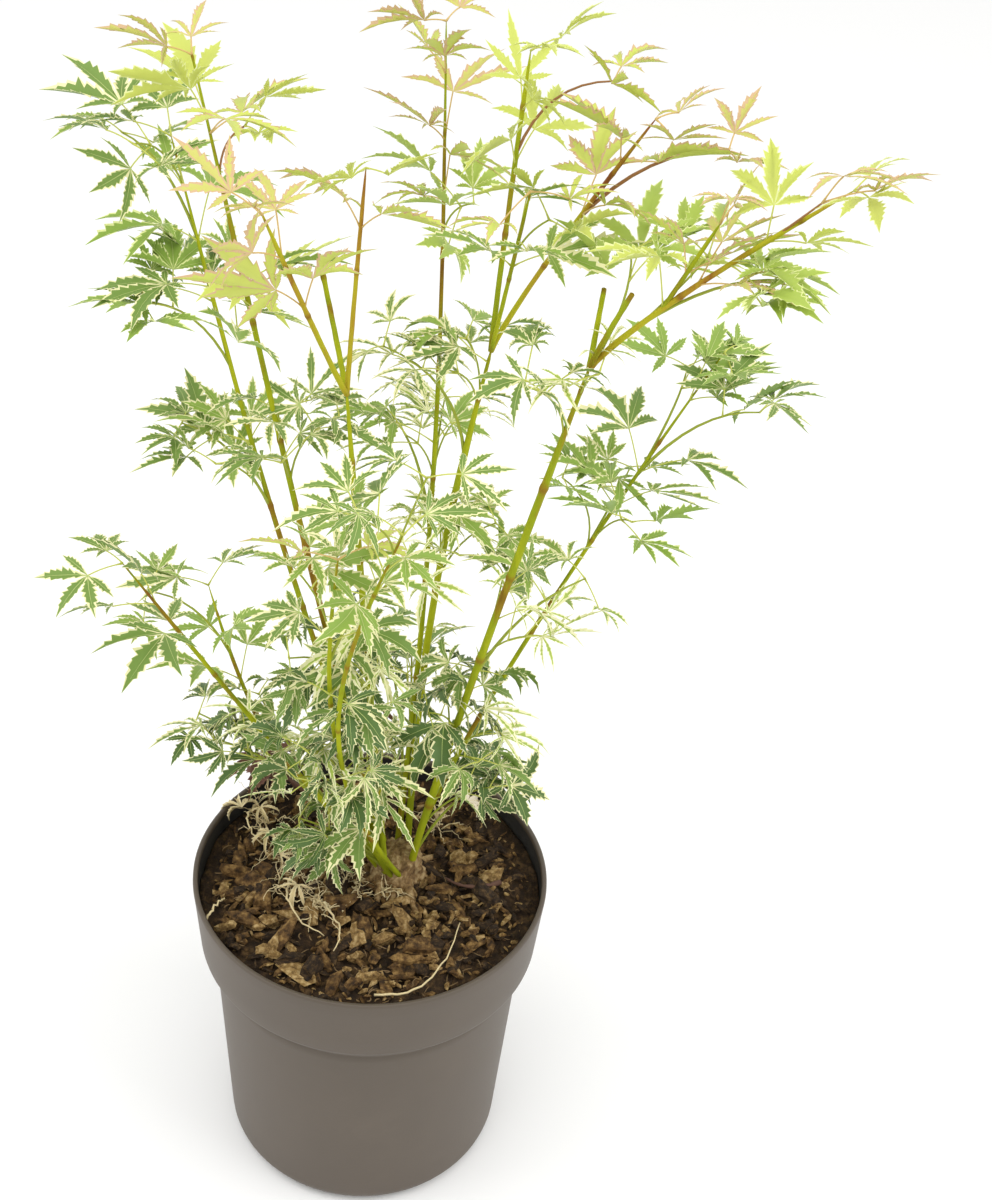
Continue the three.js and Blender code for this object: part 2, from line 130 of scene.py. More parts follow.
@dataclass
class Surface:
    """A mesh in the making: its points, and its faces in groups with the same number of corners."""

    points: Array
    faces: list[Array]

    @staticmethod
    def joined(parts: Sequence["Surface"]) -> "Surface":
        """All the parts as one surface, with the corner numbers moved on past the parts before."""
        starts = np.cumsum([0] + [len(part.points) for part in parts[:-1]])
        faces = [group + start for part, start in zip(parts, starts) for group in part.faces]
        return Surface(np.concatenate([part.points for part in parts]), faces)

    def count(self) -> int:
        """How many triangles the faces make."""
        return sum(len(group) * (group.shape[1] - 2) for group in self.faces)


def grid_faces(rows: int, columns: int, around: bool) -> Array:
    """Corner numbers of the quads between neighbouring rows and columns of a grid.

    Args:
        rows: Number of rows of points.
        columns: Number of points in a row.
        around: Whether the last column joins the first.

    Returns:
        An array of quads.
    """
    row = np.arange(rows - 1)[:, None]
    column = np.arange(columns if around else columns - 1)[None, :]
    following = (column + 1) % columns
    corners = [row * columns + column, row * columns + following]
    quads = [corners[0], corners[1], corners[1] + columns, corners[0] + columns]
    return np.stack(quads, axis=-1).reshape(-1, 4)


def closed_tube(rings: Array) -> Surface:
    """A closed skin over rings of points, with a pole at the middle of the first and last ring.

    Args:
        rings: Points as (rings, points in a ring, 3), which turn left about the way that they follow.

    Returns:
        The surface.
    """
    rows, columns, _ = rings.shape
    points = np.concatenate([rings.reshape(-1, 3), rings[:1].mean(axis=1), rings[-1:].mean(axis=1)])
    index = np.arange(columns)
    following = (index + 1) % columns
    first = np.stack([np.full(columns, rows * columns), following, index], axis=-1)
    top = (rows - 1) * columns
    last = np.stack([np.full(columns, rows * columns + 1), top + index, top + following], axis=-1)
    return Surface(points, [grid_faces(rows, columns, True), first, last])


def ring_frames(paths: Array) -> tuple[Array, Array, Array]:
    """The way along each path, and two ways across it.

    Along is the path's slope; across is reference x along, for the world axis that the path follows least;
    and up is along x across.

    Args:
        paths: Points as (paths, stations, 3).

    Returns:
        Along, across and up, each of unit length.
    """
    along = unit(np.gradient(paths, axis=1))
    overall = np.abs(unit(paths[:, -1] - paths[:, 0]))
    reference = np.eye(3)[overall.argmin(axis=1)][:, None, :]
    across = unit(np.cross(np.broadcast_to(reference, along.shape), along))
    return along, across, np.cross(along, across)


def round_bars(paths: Array, radii: Array, sides: int) -> Surface:
    """Closed round bars along many paths at once.

    A ring's points are path + radius (across cos a + up sin a), with a going round once.

    Args:
        paths: Points as (bars, stations, 3).
        radii: Radius at each station, as (bars, stations).
        sides: Number of points in a ring.

    Returns:
        One surface with all the bars.
    """
    bars = len(paths)
    _, across, up = ring_frames(paths)
    angle = np.arange(sides) * TURN / sides
    spokes = across[:, :, None] * np.cos(angle)[:, None] + up[:, :, None] * np.sin(angle)[:, None]
    rings = paths[:, :, None] + radii[:, :, None, None] * spokes
    ends = np.stack([paths[:, 0], paths[:, -1]], axis=1)
    points = np.concatenate([rings.reshape(bars, -1, 3), ends], axis=1)
    one = closed_tube(rings[0])
    step = points.shape[1] * np.arange(bars)[:, None, None]
    faces = [(group[None] + step).reshape(-1, group.shape[1]) for group in one.faces]
    return Surface(points.reshape(-1, 3), faces)


def bent_paths(start: Array, middle: Array, end: Array, stations: int) -> Array:
    """Smooth bends through three guides: (1-t)^2 start + 2t(1-t) middle + t^2 end.

    Args:
        start: Where each path starts, as (paths, 3).
        middle: The guide that each path bends towards.
        end: Where each path ends.
        stations: Number of points on a path.

    Returns:
        Points as (paths, stations, 3).
    """
    t = np.linspace(0.0, 1.0, stations)[None, :, None]
    return (1 - t) ** 2 * start[:, None] + 2 * t * (1 - t) * middle[:, None] + t**2 * end[:, None]


# ---- Finishes ----


@dataclass(frozen=True)
class PlainFinish:
    """One even colour, for leaves and stalks, which are too many and too small for a pattern."""

    name: str
    colour: Rgb
    roughness: float = 0.5
    specular: float = 0.35

    def material(self) -> bpy.types.Material:
        """The finish as a material, made once and used again."""
        found = bpy.data.materials.get(self.name)
        if found:
            return found
        made = bpy.data.materials.new(self.name)
        made.use_nodes = True
        shader = made.node_tree.nodes["Principled BSDF"]
        shader.inputs["Base Color"].default_value = (*self.colour, 1.0)
        shader.inputs["Roughness"].default_value = self.roughness
        shader.inputs["Specular IOR Level"].default_value = self.specular
        return made


@dataclass(frozen=True)
class PatternFinish:
    """A finish of blotches and grain: stops of colour over an uneven field, with bump.

    The field is noise in the piece's own Object coordinates, stretched along Z by the grain. mark names an
    attribute of the piece that mixes in mark_colour, such as the collars of a cane.
    """

    name: str
    stops: tuple[tuple[float, Rgb], ...]
    pitch: float
    roughness: Span = (0.5, 0.7)
    grain: float = 1.0
    detail: float = 5.0
    bump_height: float = 0.0002
    bump_pitch: float = 0.002
    specular: float = 0.3
    mark: str = ""
    mark_colour: Rgb = (0.0, 0.0, 0.0)

    def material(self) -> bpy.types.Material:
        """The finish as a material, made once and used again."""
        found = bpy.data.materials.get(self.name)
        if found:
            return found
        made = bpy.data.materials.new(self.name)
        made.use_nodes = True
        nodes, links = made.node_tree.nodes, made.node_tree.links
        shader = nodes["Principled BSDF"]
        shader.inputs["Specular IOR Level"].default_value = self.specular
        place = nodes.new("ShaderNodeTexCoord")
        stretch = nodes.new("ShaderNodeMapping")
        stretch.inputs["Scale"].default_value = (1.0, 1.0, 1.0 / self.grain)
        links.new(place.outputs["Object"], stretch.inputs["Vector"])
        blotches = nodes.new("ShaderNodeTexNoise")
        blotches.inputs["Scale"].default_value = 1.0 / self.pitch
        blotches.inputs["Detail"].default_value = self.detail
        blotches.inputs["Roughness"].default_value = 0.62
        links.new(stretch.outputs["Vector"], blotches.inputs["Vector"])
        ramp = nodes.new("ShaderNodeValToRGB")
        ramp.color_ramp.elements.remove(ramp.color_ramp.elements[0])
        ramp.color_ramp.elements[0].position = self.stops[0][0]
        ramp.color_ramp.elements[0].color = (*self.stops[0][1], 1.0)
        for position, colour in self.stops[1:]:
            ramp.color_ramp.elements.new(position).color = (*colour, 1.0)
        links.new(blotches.outputs["Fac"], ramp.inputs["Fac"])
        colour_out = ramp.outputs["Color"]
        if self.mark:
            mark = nodes.new("ShaderNodeAttribute")
            mark.attribute_name = self.mark
            mix = nodes.new("ShaderNodeMix")
            mix.data_type = "RGBA"
            factor, first, second, mixed = mix.inputs[0], mix.inputs[6], mix.inputs[7], mix.outputs[2]
            second.default_value = (*self.mark_colour, 1.0)
            links.new(mark.outputs["Fac"], factor)
            links.new(colour_out, first)
            colour_out = mixed
        links.new(colour_out, shader.inputs["Base Color"])
        rough = nodes.new("ShaderNodeMapRange")
        rough.inputs["To Min"].default_value, rough.inputs["To Max"].default_value = self.roughness
        links.new(blotches.outputs["Fac"], rough.inputs["Value"])
        links.new(rough.outputs["Result"], shader.inputs["Roughness"])
        fine = nodes.new("ShaderNodeTexNoise")
        fine.inputs["Scale"].default_value = 1.0 / self.bump_pitch
        fine.inputs["Detail"].default_value = 3.0
        links.new(stretch.outputs["Vector"], fine.inputs["Vector"])
        bump = nodes.new("ShaderNodeBump")
        bump.inputs["Distance"].default_value = self.bump_height
        bump.inputs["Strength"].default_value = 1.0
        links.new(fine.outputs["Fac"], bump.inputs["Height"])
        links.new(bump.outputs["Normal"], shader.inputs["Normal"])
        return made


Finish = PlainFinish | PatternFinish

POT_PLASTIC = PatternFinish(
    "moulded_taupe_plastic",
    ((0.25, (0.081, 0.062, 0.044)), (0.55, (0.091, 0.070, 0.050)), (0.8, (0.107, 0.083, 0.060))),
    pitch=0.05, roughness=(0.42, 0.52), detail=8.0, bump_height=0.00006, bump_pitch=0.0009, specular=0.45,
)
POT_INSIDE = PatternFinish(
    "dark_pot_lining",
    ((0.3, (0.030, 0.029, 0.028)), (0.7, (0.060, 0.056, 0.052))),
    pitch=0.02, roughness=(0.5, 0.65), bump_height=0.00008, bump_pitch=0.0012,
)
SOIL_FINISH = PatternFinish(
    "damp_compost",
    ((0.3, (0.009, 0.005, 0.002)), (0.5, (0.034, 0.018, 0.007)), (0.68, (0.120, 0.068, 0.026))),
    pitch=0.006, roughness=(0.75, 0.95), detail=8.0, bump_height=0.0012, bump_pitch=0.0016,
)
ROOT_FINISH = PatternFinish(
    "knotty_root_bark",
    ((0.34, (0.080, 0.042, 0.016)), (0.5, (0.260, 0.160, 0.064)), (0.66, (0.520, 0.380, 0.190))),
    pitch=0.004, roughness=(0.75, 0.9), grain=2.2, detail=8.0, bump_height=0.0007, bump_pitch=0.0011,
)
GREEN_BARK = PatternFinish(
    "yellow_green_cane_bark",
    ((0.40, (0.380, 0.410, 0.014)), (0.52, (0.270, 0.320, 0.012)), (0.60, (0.290, 0.200, 0.014)),
     (0.70, (0.150, 0.055, 0.012))),
    pitch=0.022, roughness=(0.6, 0.75), grain=5.0, bump_height=0.00015, bump_pitch=0.0012, specular=0.08,
    mark="collar", mark_colour=(0.240, 0.100, 0.016),
)
RED_BARK = PatternFinish(
    "red_brown_bough_bark",
    ((0.42, (0.420, 0.400, 0.020)), (0.53, (0.400, 0.260, 0.022)), (0.61, (0.270, 0.095, 0.020)),
     (0.74, (0.150, 0.040, 0.016))),
    pitch=0.026, roughness=(0.6, 0.7), grain=5.0, bump_height=0.00012, bump_pitch=0.0012, specular=0.08,
    mark="collar", mark_colour=(0.190, 0.065, 0.014),
)
CHIP_FINISHES = (
    PatternFinish(
        "black_bark_chip",
        ((0.34, (0.009, 0.005, 0.003)), (0.52, (0.036, 0.020, 0.008)), (0.70, (0.130, 0.076, 0.030))),
        pitch=0.0032, roughness=(0.7, 0.9), grain=0.4, detail=7.0, bump_height=0.0008, bump_pitch=0.0012,
    ),
    PatternFinish(
        "brown_bark_chip",
        ((0.34, (0.024, 0.012, 0.004)), (0.5, (0.115, 0.060, 0.018)), (0.66, (0.300, 0.180, 0.060))),
        pitch=0.004, roughness=(0.7, 0.9), detail=7.0, bump_height=0.0008, bump_pitch=0.0012,
    ),
    PatternFinish(
        "tan_bark_chip",
        ((0.32, (0.070, 0.035, 0.011)), (0.5, (0.270, 0.165, 0.055)), (0.66, (0.520, 0.370, 0.170))),
        pitch=0.003, roughness=(0.7, 0.9), detail=7.0, bump_height=0.0007, bump_pitch=0.001,
    ),
)


class Blade(Enum):
    """The colours of the green middle of a lobe."""

    DEEP = PlainFinish("deep_green_blade", (0.092, 0.165, 0.040), 0.55)
    SHADE = PlainFinish("shade_green_blade", (0.175, 0.280, 0.055), 0.52)
    MID = PlainFinish("mid_green_blade", (0.260, 0.390, 0.065), 0.5)
    FRESH = PlainFinish("fresh_green_blade", (0.400, 0.520, 0.095), 0.48)
    LIME = PlainFinish("lime_blade", (0.560, 0.620, 0.120), 0.48)
    DRY = PlainFinish("dry_tan_blade", (0.700, 0.570, 0.310), 0.7)
    DEAD = PlainFinish("dead_brown_blade", (0.150, 0.070, 0.045), 0.75)
    BLEACHED = PlainFinish("bleached_blade", (0.800, 0.720, 0.560), 0.7)
    GOLD = PlainFinish("golden_lime_blade", (0.570, 0.560, 0.140), 0.48)


class Edge(Enum):
    """The colours of a lobe's margin."""

    CREAM = PlainFinish("cream_margin", (0.820, 0.790, 0.440), 0.55)
    IVORY = PlainFinish("ivory_margin", (0.860, 0.840, 0.520), 0.55)
    PALE = PlainFinish("pale_green_margin", (0.740, 0.790, 0.340), 0.52)
    STRAW = PlainFinish("straw_margin", (0.760, 0.660, 0.400), 0.7)
    BROWN = PlainFinish("brown_margin", (0.200, 0.100, 0.060), 0.75)
    PINK = PlainFinish("pinkish_tan_margin", (0.610, 0.420, 0.230), 0.52)


RIB_FINISH = PlainFinish("pale_midrib", (0.500, 0.600, 0.200), 0.5)
STALK_FINISH = PlainFinish("pale_leaf_stalk", (0.560, 0.590, 0.110), 0.5)
RED_STALK_FINISH = PlainFinish("tan_leaf_stalk", (0.620, 0.430, 0.150), 0.5)
GREEN_SHOOT_FINISH = PlainFinish("bright_side_shoot", (0.310, 0.360, 0.030), 0.48)
RED_SHOOT_FINISH = PlainFinish("red_brown_side_shoot", (0.300, 0.135, 0.040), 0.5)
STRAW_FINISH = PlainFinish("dry_straw", (0.720, 0.590, 0.330), 0.7)
FIBRE_FINISH = PlainFinish("bark_fibre", (0.210, 0.135, 0.060), 0.8)
DEAD_FINISH = PlainFinish("dead_twig", (0.120, 0.060, 0.040), 0.8)


def make_piece(
    name: str, surface: Surface, finish: Finish, smooth: bool = True
) -> bpy.types.Object:
    """Puts a surface into the scene as a piece that rides on the plant's one body.

    Args:
        name: The piece's name.
        surface: Its points and faces.
        finish: What it is dressed in.
        smooth: Whether its faces are shaded as one skin.

    Returns:
        The object.
    """
    mesh = bpy.data.meshes.new(name)
    corners = np.concatenate([group.ravel() for group in surface.faces])
    sizes = np.concatenate([np.full(len(group), group.shape[1]) for group in surface.faces])
    mesh.vertices.add(len(surface.points))
    mesh.vertices.foreach_set("co", surface.points.astype(np.float32).ravel())
    mesh.loops.add(len(corners))
    mesh.loops.foreach_set("vertex_index", corners.astype(np.int32))
    mesh.polygons.add(len(sizes))
    mesh.polygons.foreach_set("loop_start", (np.cumsum(sizes) - sizes).astype(np.int32))
    mesh.update(calc_edges=True)
    mesh.polygons.foreach_set("use_smooth", np.full(len(sizes), smooth))
    mesh.validate()
    mesh.materials.append(finish.material())
    piece = bpy.data.objects.new(name, mesh)
    bpy.context.scene.collection.objects.link(piece)
    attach(piece, "root")
    log.info("%s: %d triangles", name, surface.count())
    return piece


def set_mark(piece: bpy.types.Object, name: str, values: Array) -> None:
    """Writes one value for each point of a piece as a named attribute."""
    attribute = piece.data.attributes.new(name, "FLOAT", "POINT")
    attribute.data.foreach_set("value", values.astype(np.float32))


# ---- Pot ----


@dataclass
class Pot:
    """A round nursery pot: a tall collar under the rim, a sloped step, a tapered body and a notched foot."""

    rim_radius: float = 95 * MM
    height: float = 189 * MM
    wall: float = 1.8 * MM
    lip_wall: float = 2.8 * MM
    lip_height: float = 4 * MM
    collar_height: float = 41.6 * MM
    collar_foot_radius: float = 91.8 * MM
    step_height: float = 4.8 * MM
    body_top_radius: float = 84.6 * MM
    body_foot_radius: float = 77.5 * MM
    foot_rounding: float = 11 * MM
    floor: float = 5.2 * MM
    notches: int = 8
    notch_width: float = 27 * MM
    notch_height: float = 3.4 * MM
    notch_inset: float = 2 * MM
    seam_height: float = 137 * MM
    segments: int = 288

    def outside(self) -> Array:
        """The outer profile as (radius, height) from the foot up: quarter round, body, step and collar."""
        flat = self.body_foot_radius - self.foot_rounding
        turn = np.linspace(0.0, math.pi / 2, 9)
        round_x, round_z = self.foot_rounding * np.sin(turn), self.foot_rounding * (1 - np.cos(turn))
        foot = np.stack([flat + round_x, round_z], 1)
        collar_foot = self.height - self.collar_height
        body_top = collar_foot - self.step_height
        share = np.linspace(0.06, 0.985, 14)
        body = np.stack(
            [
                self.body_foot_radius + (self.body_top_radius - self.body_foot_radius) * share,
                self.foot_rounding + (body_top - self.foot_rounding) * share,
            ],
            axis=1,
        )
        seam = self.seam_height
        at_seam = np.interp(seam, body[:, 1], body[:, 0])
        ring = [(at_seam, seam - 0.0009), (at_seam - 0.0004, seam), (at_seam, seam + 0.0009)]
        body = np.concatenate([body, ring])
        body = body[np.argsort(body[:, 1])]
        out = self.collar_foot_radius
        top = [
            (self.body_top_radius, body_top),
            (self.body_top_radius + 0.0012, body_top + 0.0004),
            (out - 0.0016, collar_foot - 0.0009),
            (out - 0.0002, collar_foot + 0.0002),
            (out + 0.0001, collar_foot + 0.0016),
            (out + 0.0009, collar_foot + 0.012),
            (self.rim_radius - 0.0008, self.height - 0.010),
            (self.rim_radius - 0.0001, self.height - 0.0022),
            (self.rim_radius - 0.0002, self.height - 0.0007),
            (self.rim_radius - 0.0008, self.height - 0.0001),
        ]
        under = [(flat * share, 0.0) for share in (0.35, 0.7, 0.93, 0.975)]
        return np.concatenate([under, foot, body, top])

    def inside(self) -> Array:
        """The inner profile as (radius, height) from the lip down to the floor."""
        lip = self.rim_radius - self.lip_wall
        under_lip = self.height - self.lip_height
        collar_foot = self.height - self.collar_height
        return np.array(
            [
                (lip + 0.0007, self.height - 0.0001),
                (lip + 0.0001, self.height - 0.0007),
                (lip, under_lip + 0.0008),
                (lip + 0.0002, under_lip),
                (self.rim_radius - self.wall - 0.0003, under_lip - 0.001),
                (self.collar_foot_radius - self.wall, collar_foot),
                (self.body_top_radius - self.wall, collar_foot - self.step_height),
                (self.body_foot_radius - self.wall, self.foot_rounding),
                (self.body_foot_radius - self.foot_rounding, self.floor),
                (0.3 * self.body_foot_radius, self.floor),
            ]
        )

    def lathe(self, profile: Array) -> Array:
        """Rings of points round the Z axis: (r cos a, r sin a, z), one ring for each profile point."""
        angle = np.arange(self.segments) * TURN / self.segments
        radius = profile[:, 0][:, None]
        height = np.broadcast_to(profile[:, 1][:, None], (len(profile), self.segments))
        return np.stack([radius * np.cos(angle), radius * np.sin(angle), height], axis=-1)

    def notched(self, rings: Array) -> Array:
        """Lifts the underside inside each notch: z becomes at least the notch's height past its inset.

        Args:
            rings: Points of the outer skin.

        Returns:
            The same points with the notches in.
        """
        radius = np.hypot(rings[..., 0], rings[..., 1])
        angle = np.arctan2(rings[..., 1], rings[..., 0])
        pitch = TURN / self.notches
        centred = angle % pitch - pitch / 2
        beside = np.abs(np.sin(centred)) * radius
        across = smooth_step((self.notch_width / 2 + 0.0008 - beside) / 0.0016)
        flat = self.body_foot_radius - self.foot_rounding
        along = smooth_step((radius - flat + self.notch_inset) / 0.0012)
        lifted = rings.copy()
        lifted[..., 2] = np.maximum(rings[..., 2], self.notch_height * across * along)
        return lifted

    def build(self) -> None:
        """Makes the outer skin and the dark lining, which meet at the top of the lip."""
        outer = self.lathe(self.outside())
        shell = self.notched(outer)
        inner = self.lathe(self.inside())
        whole = closed_tube(np.concatenate([shell, inner]))
        pot = make_piece("nursery_pot", whole, POT_PLASTIC)
        pot.data.materials.append(POT_INSIDE.material())
        first_inner = (len(shell) + 2) * self.segments
        low = np.zeros(len(pot.data.polygons), dtype=np.int32)
        loops = np.zeros(len(pot.data.loops), dtype=np.int32)
        starts = np.zeros(len(pot.data.polygons), dtype=np.int32)
        pot.data.loops.foreach_get("vertex_index", loops)
        pot.data.polygons.foreach_get("loop_start", starts)
        low[loops[starts] >= first_inner] = 1
        low[loops[starts] == len(whole.points) - 2] = 0
        pot.data.polygons.foreach_set("material_index", low)
        pot.data.update()
        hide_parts("pot")


# ---- Mulch ----


@dataclass
class Mulch:
    """Compost topped with coarse bark chips."""

    level: float = 176 * MM
    radius: float = 91.6 * MM
    clods: float = 3.2 * MM
    rings: int = 46
    segments: int = 144
    chips: int = 1300
    chip_half: float = 4.6 * MM
    slivers: int = 260
    bed: float = 24 * MM
    chip_room: float = 0.0022
    black_and_brown: Span = (0.26, 0.68)
    chip_corners: int = 5
    chip_limits: Span = (0.0014, 0.0135)
    sliver_stations: int = 4

    def height_at(self, x: Array, y: Array) -> Array:
        """The top of the compost: level + two crossed waves of clods, as in the frame, less chip_room."""
        coarse, fine = TURN / 0.062, TURN / 0.022
        swell = 0.28 * np.sin(coarse * x + 1) * np.cos(coarse * y)
        swell = swell + 0.2 * np.sin(fine * (x - y) * math.sqrt(0.5))
        return self.level + self.clods * (0.5 + swell) - self.chip_room

    def build(self, rng: np.random.Generator) -> None:
        """Makes the compost and strews the chips over it."""
        compost = make_piece("compost", self._compost(), SOIL_FINISH)
        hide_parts("bark_mulch")
        shares = rng.uniform(size=self.chips)
        kinds = np.searchsorted(self.black_and_brown, shares)
        names = ("black_bark_chips", "brown_bark_chips", "tan_bark_chips")
        for kind, name in enumerate(names):
            count = int((kinds == kind).sum())
            make_piece(name, self._chips(rng, count, kind), CHIP_FINISHES[kind], smooth=False)
        make_piece("bark_slivers", self._slivers(rng), FIBRE_FINISH, smooth=False)

    def _compost(self) -> Surface:
        """A closed drum: its lumpy top, a short side wall and a flat bottom below the chips."""
        share = np.linspace(0.02, 1.0, self.rings)
        angle = np.arange(self.segments) * TURN / self.segments
        x = self.radius * share[:, None] * np.cos(angle)
        y = self.radius * share[:, None] * np.sin(angle)
        z = self.height_at(x, y)
        place = np.stack([x, y, z], axis=-1)
        crumbs = ripple(place, 0.011, 3) + 0.7 * ripple(place, 0.0045, 4)
        place[..., 2] += 0.0011 * crumbs
        place[-1, :, 2] = np.minimum(place[-1, :, 2], z[-1])
        wall = place[-1:].copy()
        wall[..., :2] *= 0.985
        wall[..., 2] = self.level - self.bed
        return closed_tube(np.concatenate([place, wall])[::-1])

    def _chips(self, rng: np.random.Generator, count: int, kind: int) -> Surface:
        """Jagged slabs of bark: four rings of five corners, squashed flat, turned and laid on the compost.

        Args:
            rng: Where the random draws come from.
            count: How many slabs.
            kind: 0 for black, 1 for brown and 2 for tan, which are a little smaller.

        Returns:
            All the slabs as one surface.
        """
        sides = self.chip_corners
        distance = (self.radius - 0.006) * np.sqrt(rng.uniform(size=count))
        angle = rng.uniform(0.0, TURN, count)
        x, y = distance * np.cos(angle), distance * np.sin(angle)
        size = rng.lognormal(math.log(self.chip_half), 0.55, count) * (1.0 - 0.08 * kind)
        size = np.clip(size, *self.chip_limits)
        size *= np.clip((self.radius - distance) / 0.02, 0.5, 1.0)
        half_width = size * rng.uniform(0.22, 0.62, count)
        half_height = size * rng.uniform(0.10, 0.30, count)
        half = np.stack([size, half_width, half_height], 1)
        spin = np.arange(sides) * TURN / sides + rng.uniform(-0.4, 0.4, (count, 4, sides))
        level = np.array([-1.0, -0.35, 0.45, 1.0])[None, :, None]
        reach = np.array([0.72, 1.0, 0.96, 0.66])[None, :, None] * rng.uniform(0.66, 1.2, (count, 1, sides))
        reach = reach * rng.uniform(0.88, 1.1, (count, 4, sides))
        uneven = level + rng.uniform(-0.35, 0.35, (count, 4, sides))
        local = np.stack([reach * np.cos(spin), reach * np.sin(spin), uneven], -1)
        local = local * half[:, None, None, :]
        heading = rng.uniform(0.0, TURN, count)
        tip = rng.normal(0.0, 0.5, (count, 2))
        turned = turn_points(local, heading, tip)
        lift = self.height_at(x, y) + half[:, 2] * rng.uniform(0.2, 1.3, count) + 0.0014
        place = np.stack([x, y, lift], axis=-1)
        return stack_of_tubes(turned + place[:, None, None, :])

    def _slivers(self, rng: np.random.Generator) -> Surface:
        """Thin fibres of bark and root that lie between the chips."""
        count = self.slivers
        distance = (self.radius - 0.008) * np.sqrt(rng.uniform(size=count))
        angle = rng.uniform(0.0, TURN, count)
        x, y = distance * np.cos(angle), distance * np.sin(angle)
        z = self.height_at(x, y) + rng.uniform(0.002, 0.0042, count)
        middle = np.stack([x, y, z], axis=-1)
        heading = rng.uniform(0.0, TURN, count)
        half = rng.uniform(0.0008, 0.0035, count)
        slope = rng.normal(0.0, 0.18, count)
        reach = np.stack([np.cos(heading), np.sin(heading), slope], axis=-1) * half[:, None]
        bow = rng.normal(0.0, 0.0012, (count, 3))
        paths = bent_paths(middle - reach, middle + bow, middle + reach, self.sliver_stations)
        thickest = np.repeat(rng.uniform(0.00015, 0.0004, count)[:, None], self.sliver_stations, axis=1)
        return round_bars(paths, thickest * np.array([0.5, 1.0, 1.0, 0.4]), 4)


def turn_points(local: Array, heading: Array, tip: Array) -> Array:
    """Turns each body's points: tipped about X and Y, and then headed about Z.

    Args:
        local: Points as (bodies, rings, corners, 3).
        heading: Turn about Z for each body.
        tip: Turns about X and Y for each body.

    Returns:
        The turned points.
    """
    zero, one = np.zeros_like(heading), np.ones_like(heading)
    cz, sz = np.cos(heading), np.sin(heading)
    cx, sx, cy, sy = np.cos(tip[:, 0]), np.sin(tip[:, 0]), np.cos(tip[:, 1]), np.sin(tip[:, 1])
    about_z = np.stack([cz, -sz, zero, sz, cz, zero, zero, zero, one], -1).reshape(-1, 3, 3)
    about_x = np.stack([one, zero, zero, zero, cx, -sx, zero, sx, cx], -1).reshape(-1, 3, 3)
    about_y = np.stack([cy, zero, sy, zero, one, zero, -sy, zero, cy], -1).reshape(-1, 3, 3)
    return np.einsum("nij,nrcj->nrci", about_z @ about_y @ about_x, local)


def stack_of_tubes(rings: Array) -> Surface:
    """Closed skins over many stacks of rings at once.

    Args:
        rings: Points as (bodies, rings, corners, 3).

    Returns:
        One surface with all the bodies.
    """
    one = closed_tube(rings[0])
    ends = np.stack([rings[:, 0].mean(axis=1), rings[:, -1].mean(axis=1)], axis=1)
    points = np.concatenate([rings.reshape(len(rings), -1, 3), ends], axis=1)
    step = points.shape[1] * np.arange(len(rings))[:, None, None]
    faces = [(group[None] + step).reshape(-1, group.shape[1]) for group in one.faces]
    return Surface(points.reshape(-1, 3), faces)


# ---- Rootstock, canes and boughs ----


@dataclass
class Rootstock:
    """The knotty crown of the roots, where all the canes start."""

    centre: tuple[float, float, float] = (12 * MM, 10 * MM, 176 * MM)
    flare_radius: float = 17 * MM
    top_radius: float = 11.5 * MM
    height: float = 19 * MM
    buttresses: int = 5
    lean: float = 2 * MM
    rings: int = 30
    segments: int = 72
    root_count: int = 9
    root_stations: int = 12
    root_radii: Span = (0.0016, 0.0032)

    def build(self, rng: np.random.Generator) -> None:
        """Makes the crown and the roots that run out from it into the mulch."""
        share = np.linspace(0.0, 1.0, self.rings)[:, None]
        angle = np.arange(self.segments)[None, :] * TURN / self.segments
        flare = (1 - share) ** 2
        dome = np.sqrt(np.clip(1 - ((share - 0.8) / 0.2).clip(0) ** 2, 0.03, 1))
        swell = 1 + (0.05 + 0.13 * flare) * np.cos(self.buttresses * angle + 0.8 * np.sin(2 * angle))
        radius = (self.top_radius + (self.flare_radius - self.top_radius) * flare) * swell * dome
        x = self.centre[0] + radius * np.cos(angle) + self.lean * share
        y = self.centre[1] + radius * np.sin(angle)
        z = np.broadcast_to(self.centre[2] - 0.002 + (self.height + 0.004) * share, radius.shape)
        place = np.stack([x, y, z], axis=-1)
        outward = unit(place - np.array(self.centre) - np.array([0, 0, 0.004]))
        knots = 0.0009 * ripple(place, 0.009, 11) + 0.0005 * ripple(place, 0.0038, 12)
        place = place + outward * knots[..., None]
        crown = make_piece("root_crown", closed_tube(place), ROOT_FINISH)
        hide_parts("rootstock")
        make_piece("surface_roots", self._roots(rng), ROOT_FINISH)

    def _roots(self, rng: np.random.Generator) -> Surface:
        """Roots that leave the flare and dip into the mulch within a few centimetres."""
        count = self.root_count
        angle = np.arange(count) * TURN / count + rng.uniform(-0.25, 0.25, count)
        out = np.stack([np.cos(angle), np.sin(angle), np.zeros(count)], axis=-1)
        side = np.stack([-np.sin(angle), np.cos(angle), np.zeros(count)], axis=-1)
        centre = np.array(self.centre)
        start = centre + out * 0.011 + UP * 0.0045
        reach = rng.uniform(0.019, 0.034, count)[:, None]
        middle = centre + out * reach * 0.75 + side * rng.uniform(-0.007, 0.007, count)[:, None] + UP * 0.004
        end = centre + out * reach * 1.25 + side * rng.uniform(-0.012, 0.012, count)[:, None] - UP * 0.004
        paths = bent_paths(start, middle, end, self.root_stations)
        radii = rng.uniform(*self.root_radii, count)[:, None] * np.linspace(1.0, 0.32, self.root_stations)
        return round_bars(paths, radii, 8)


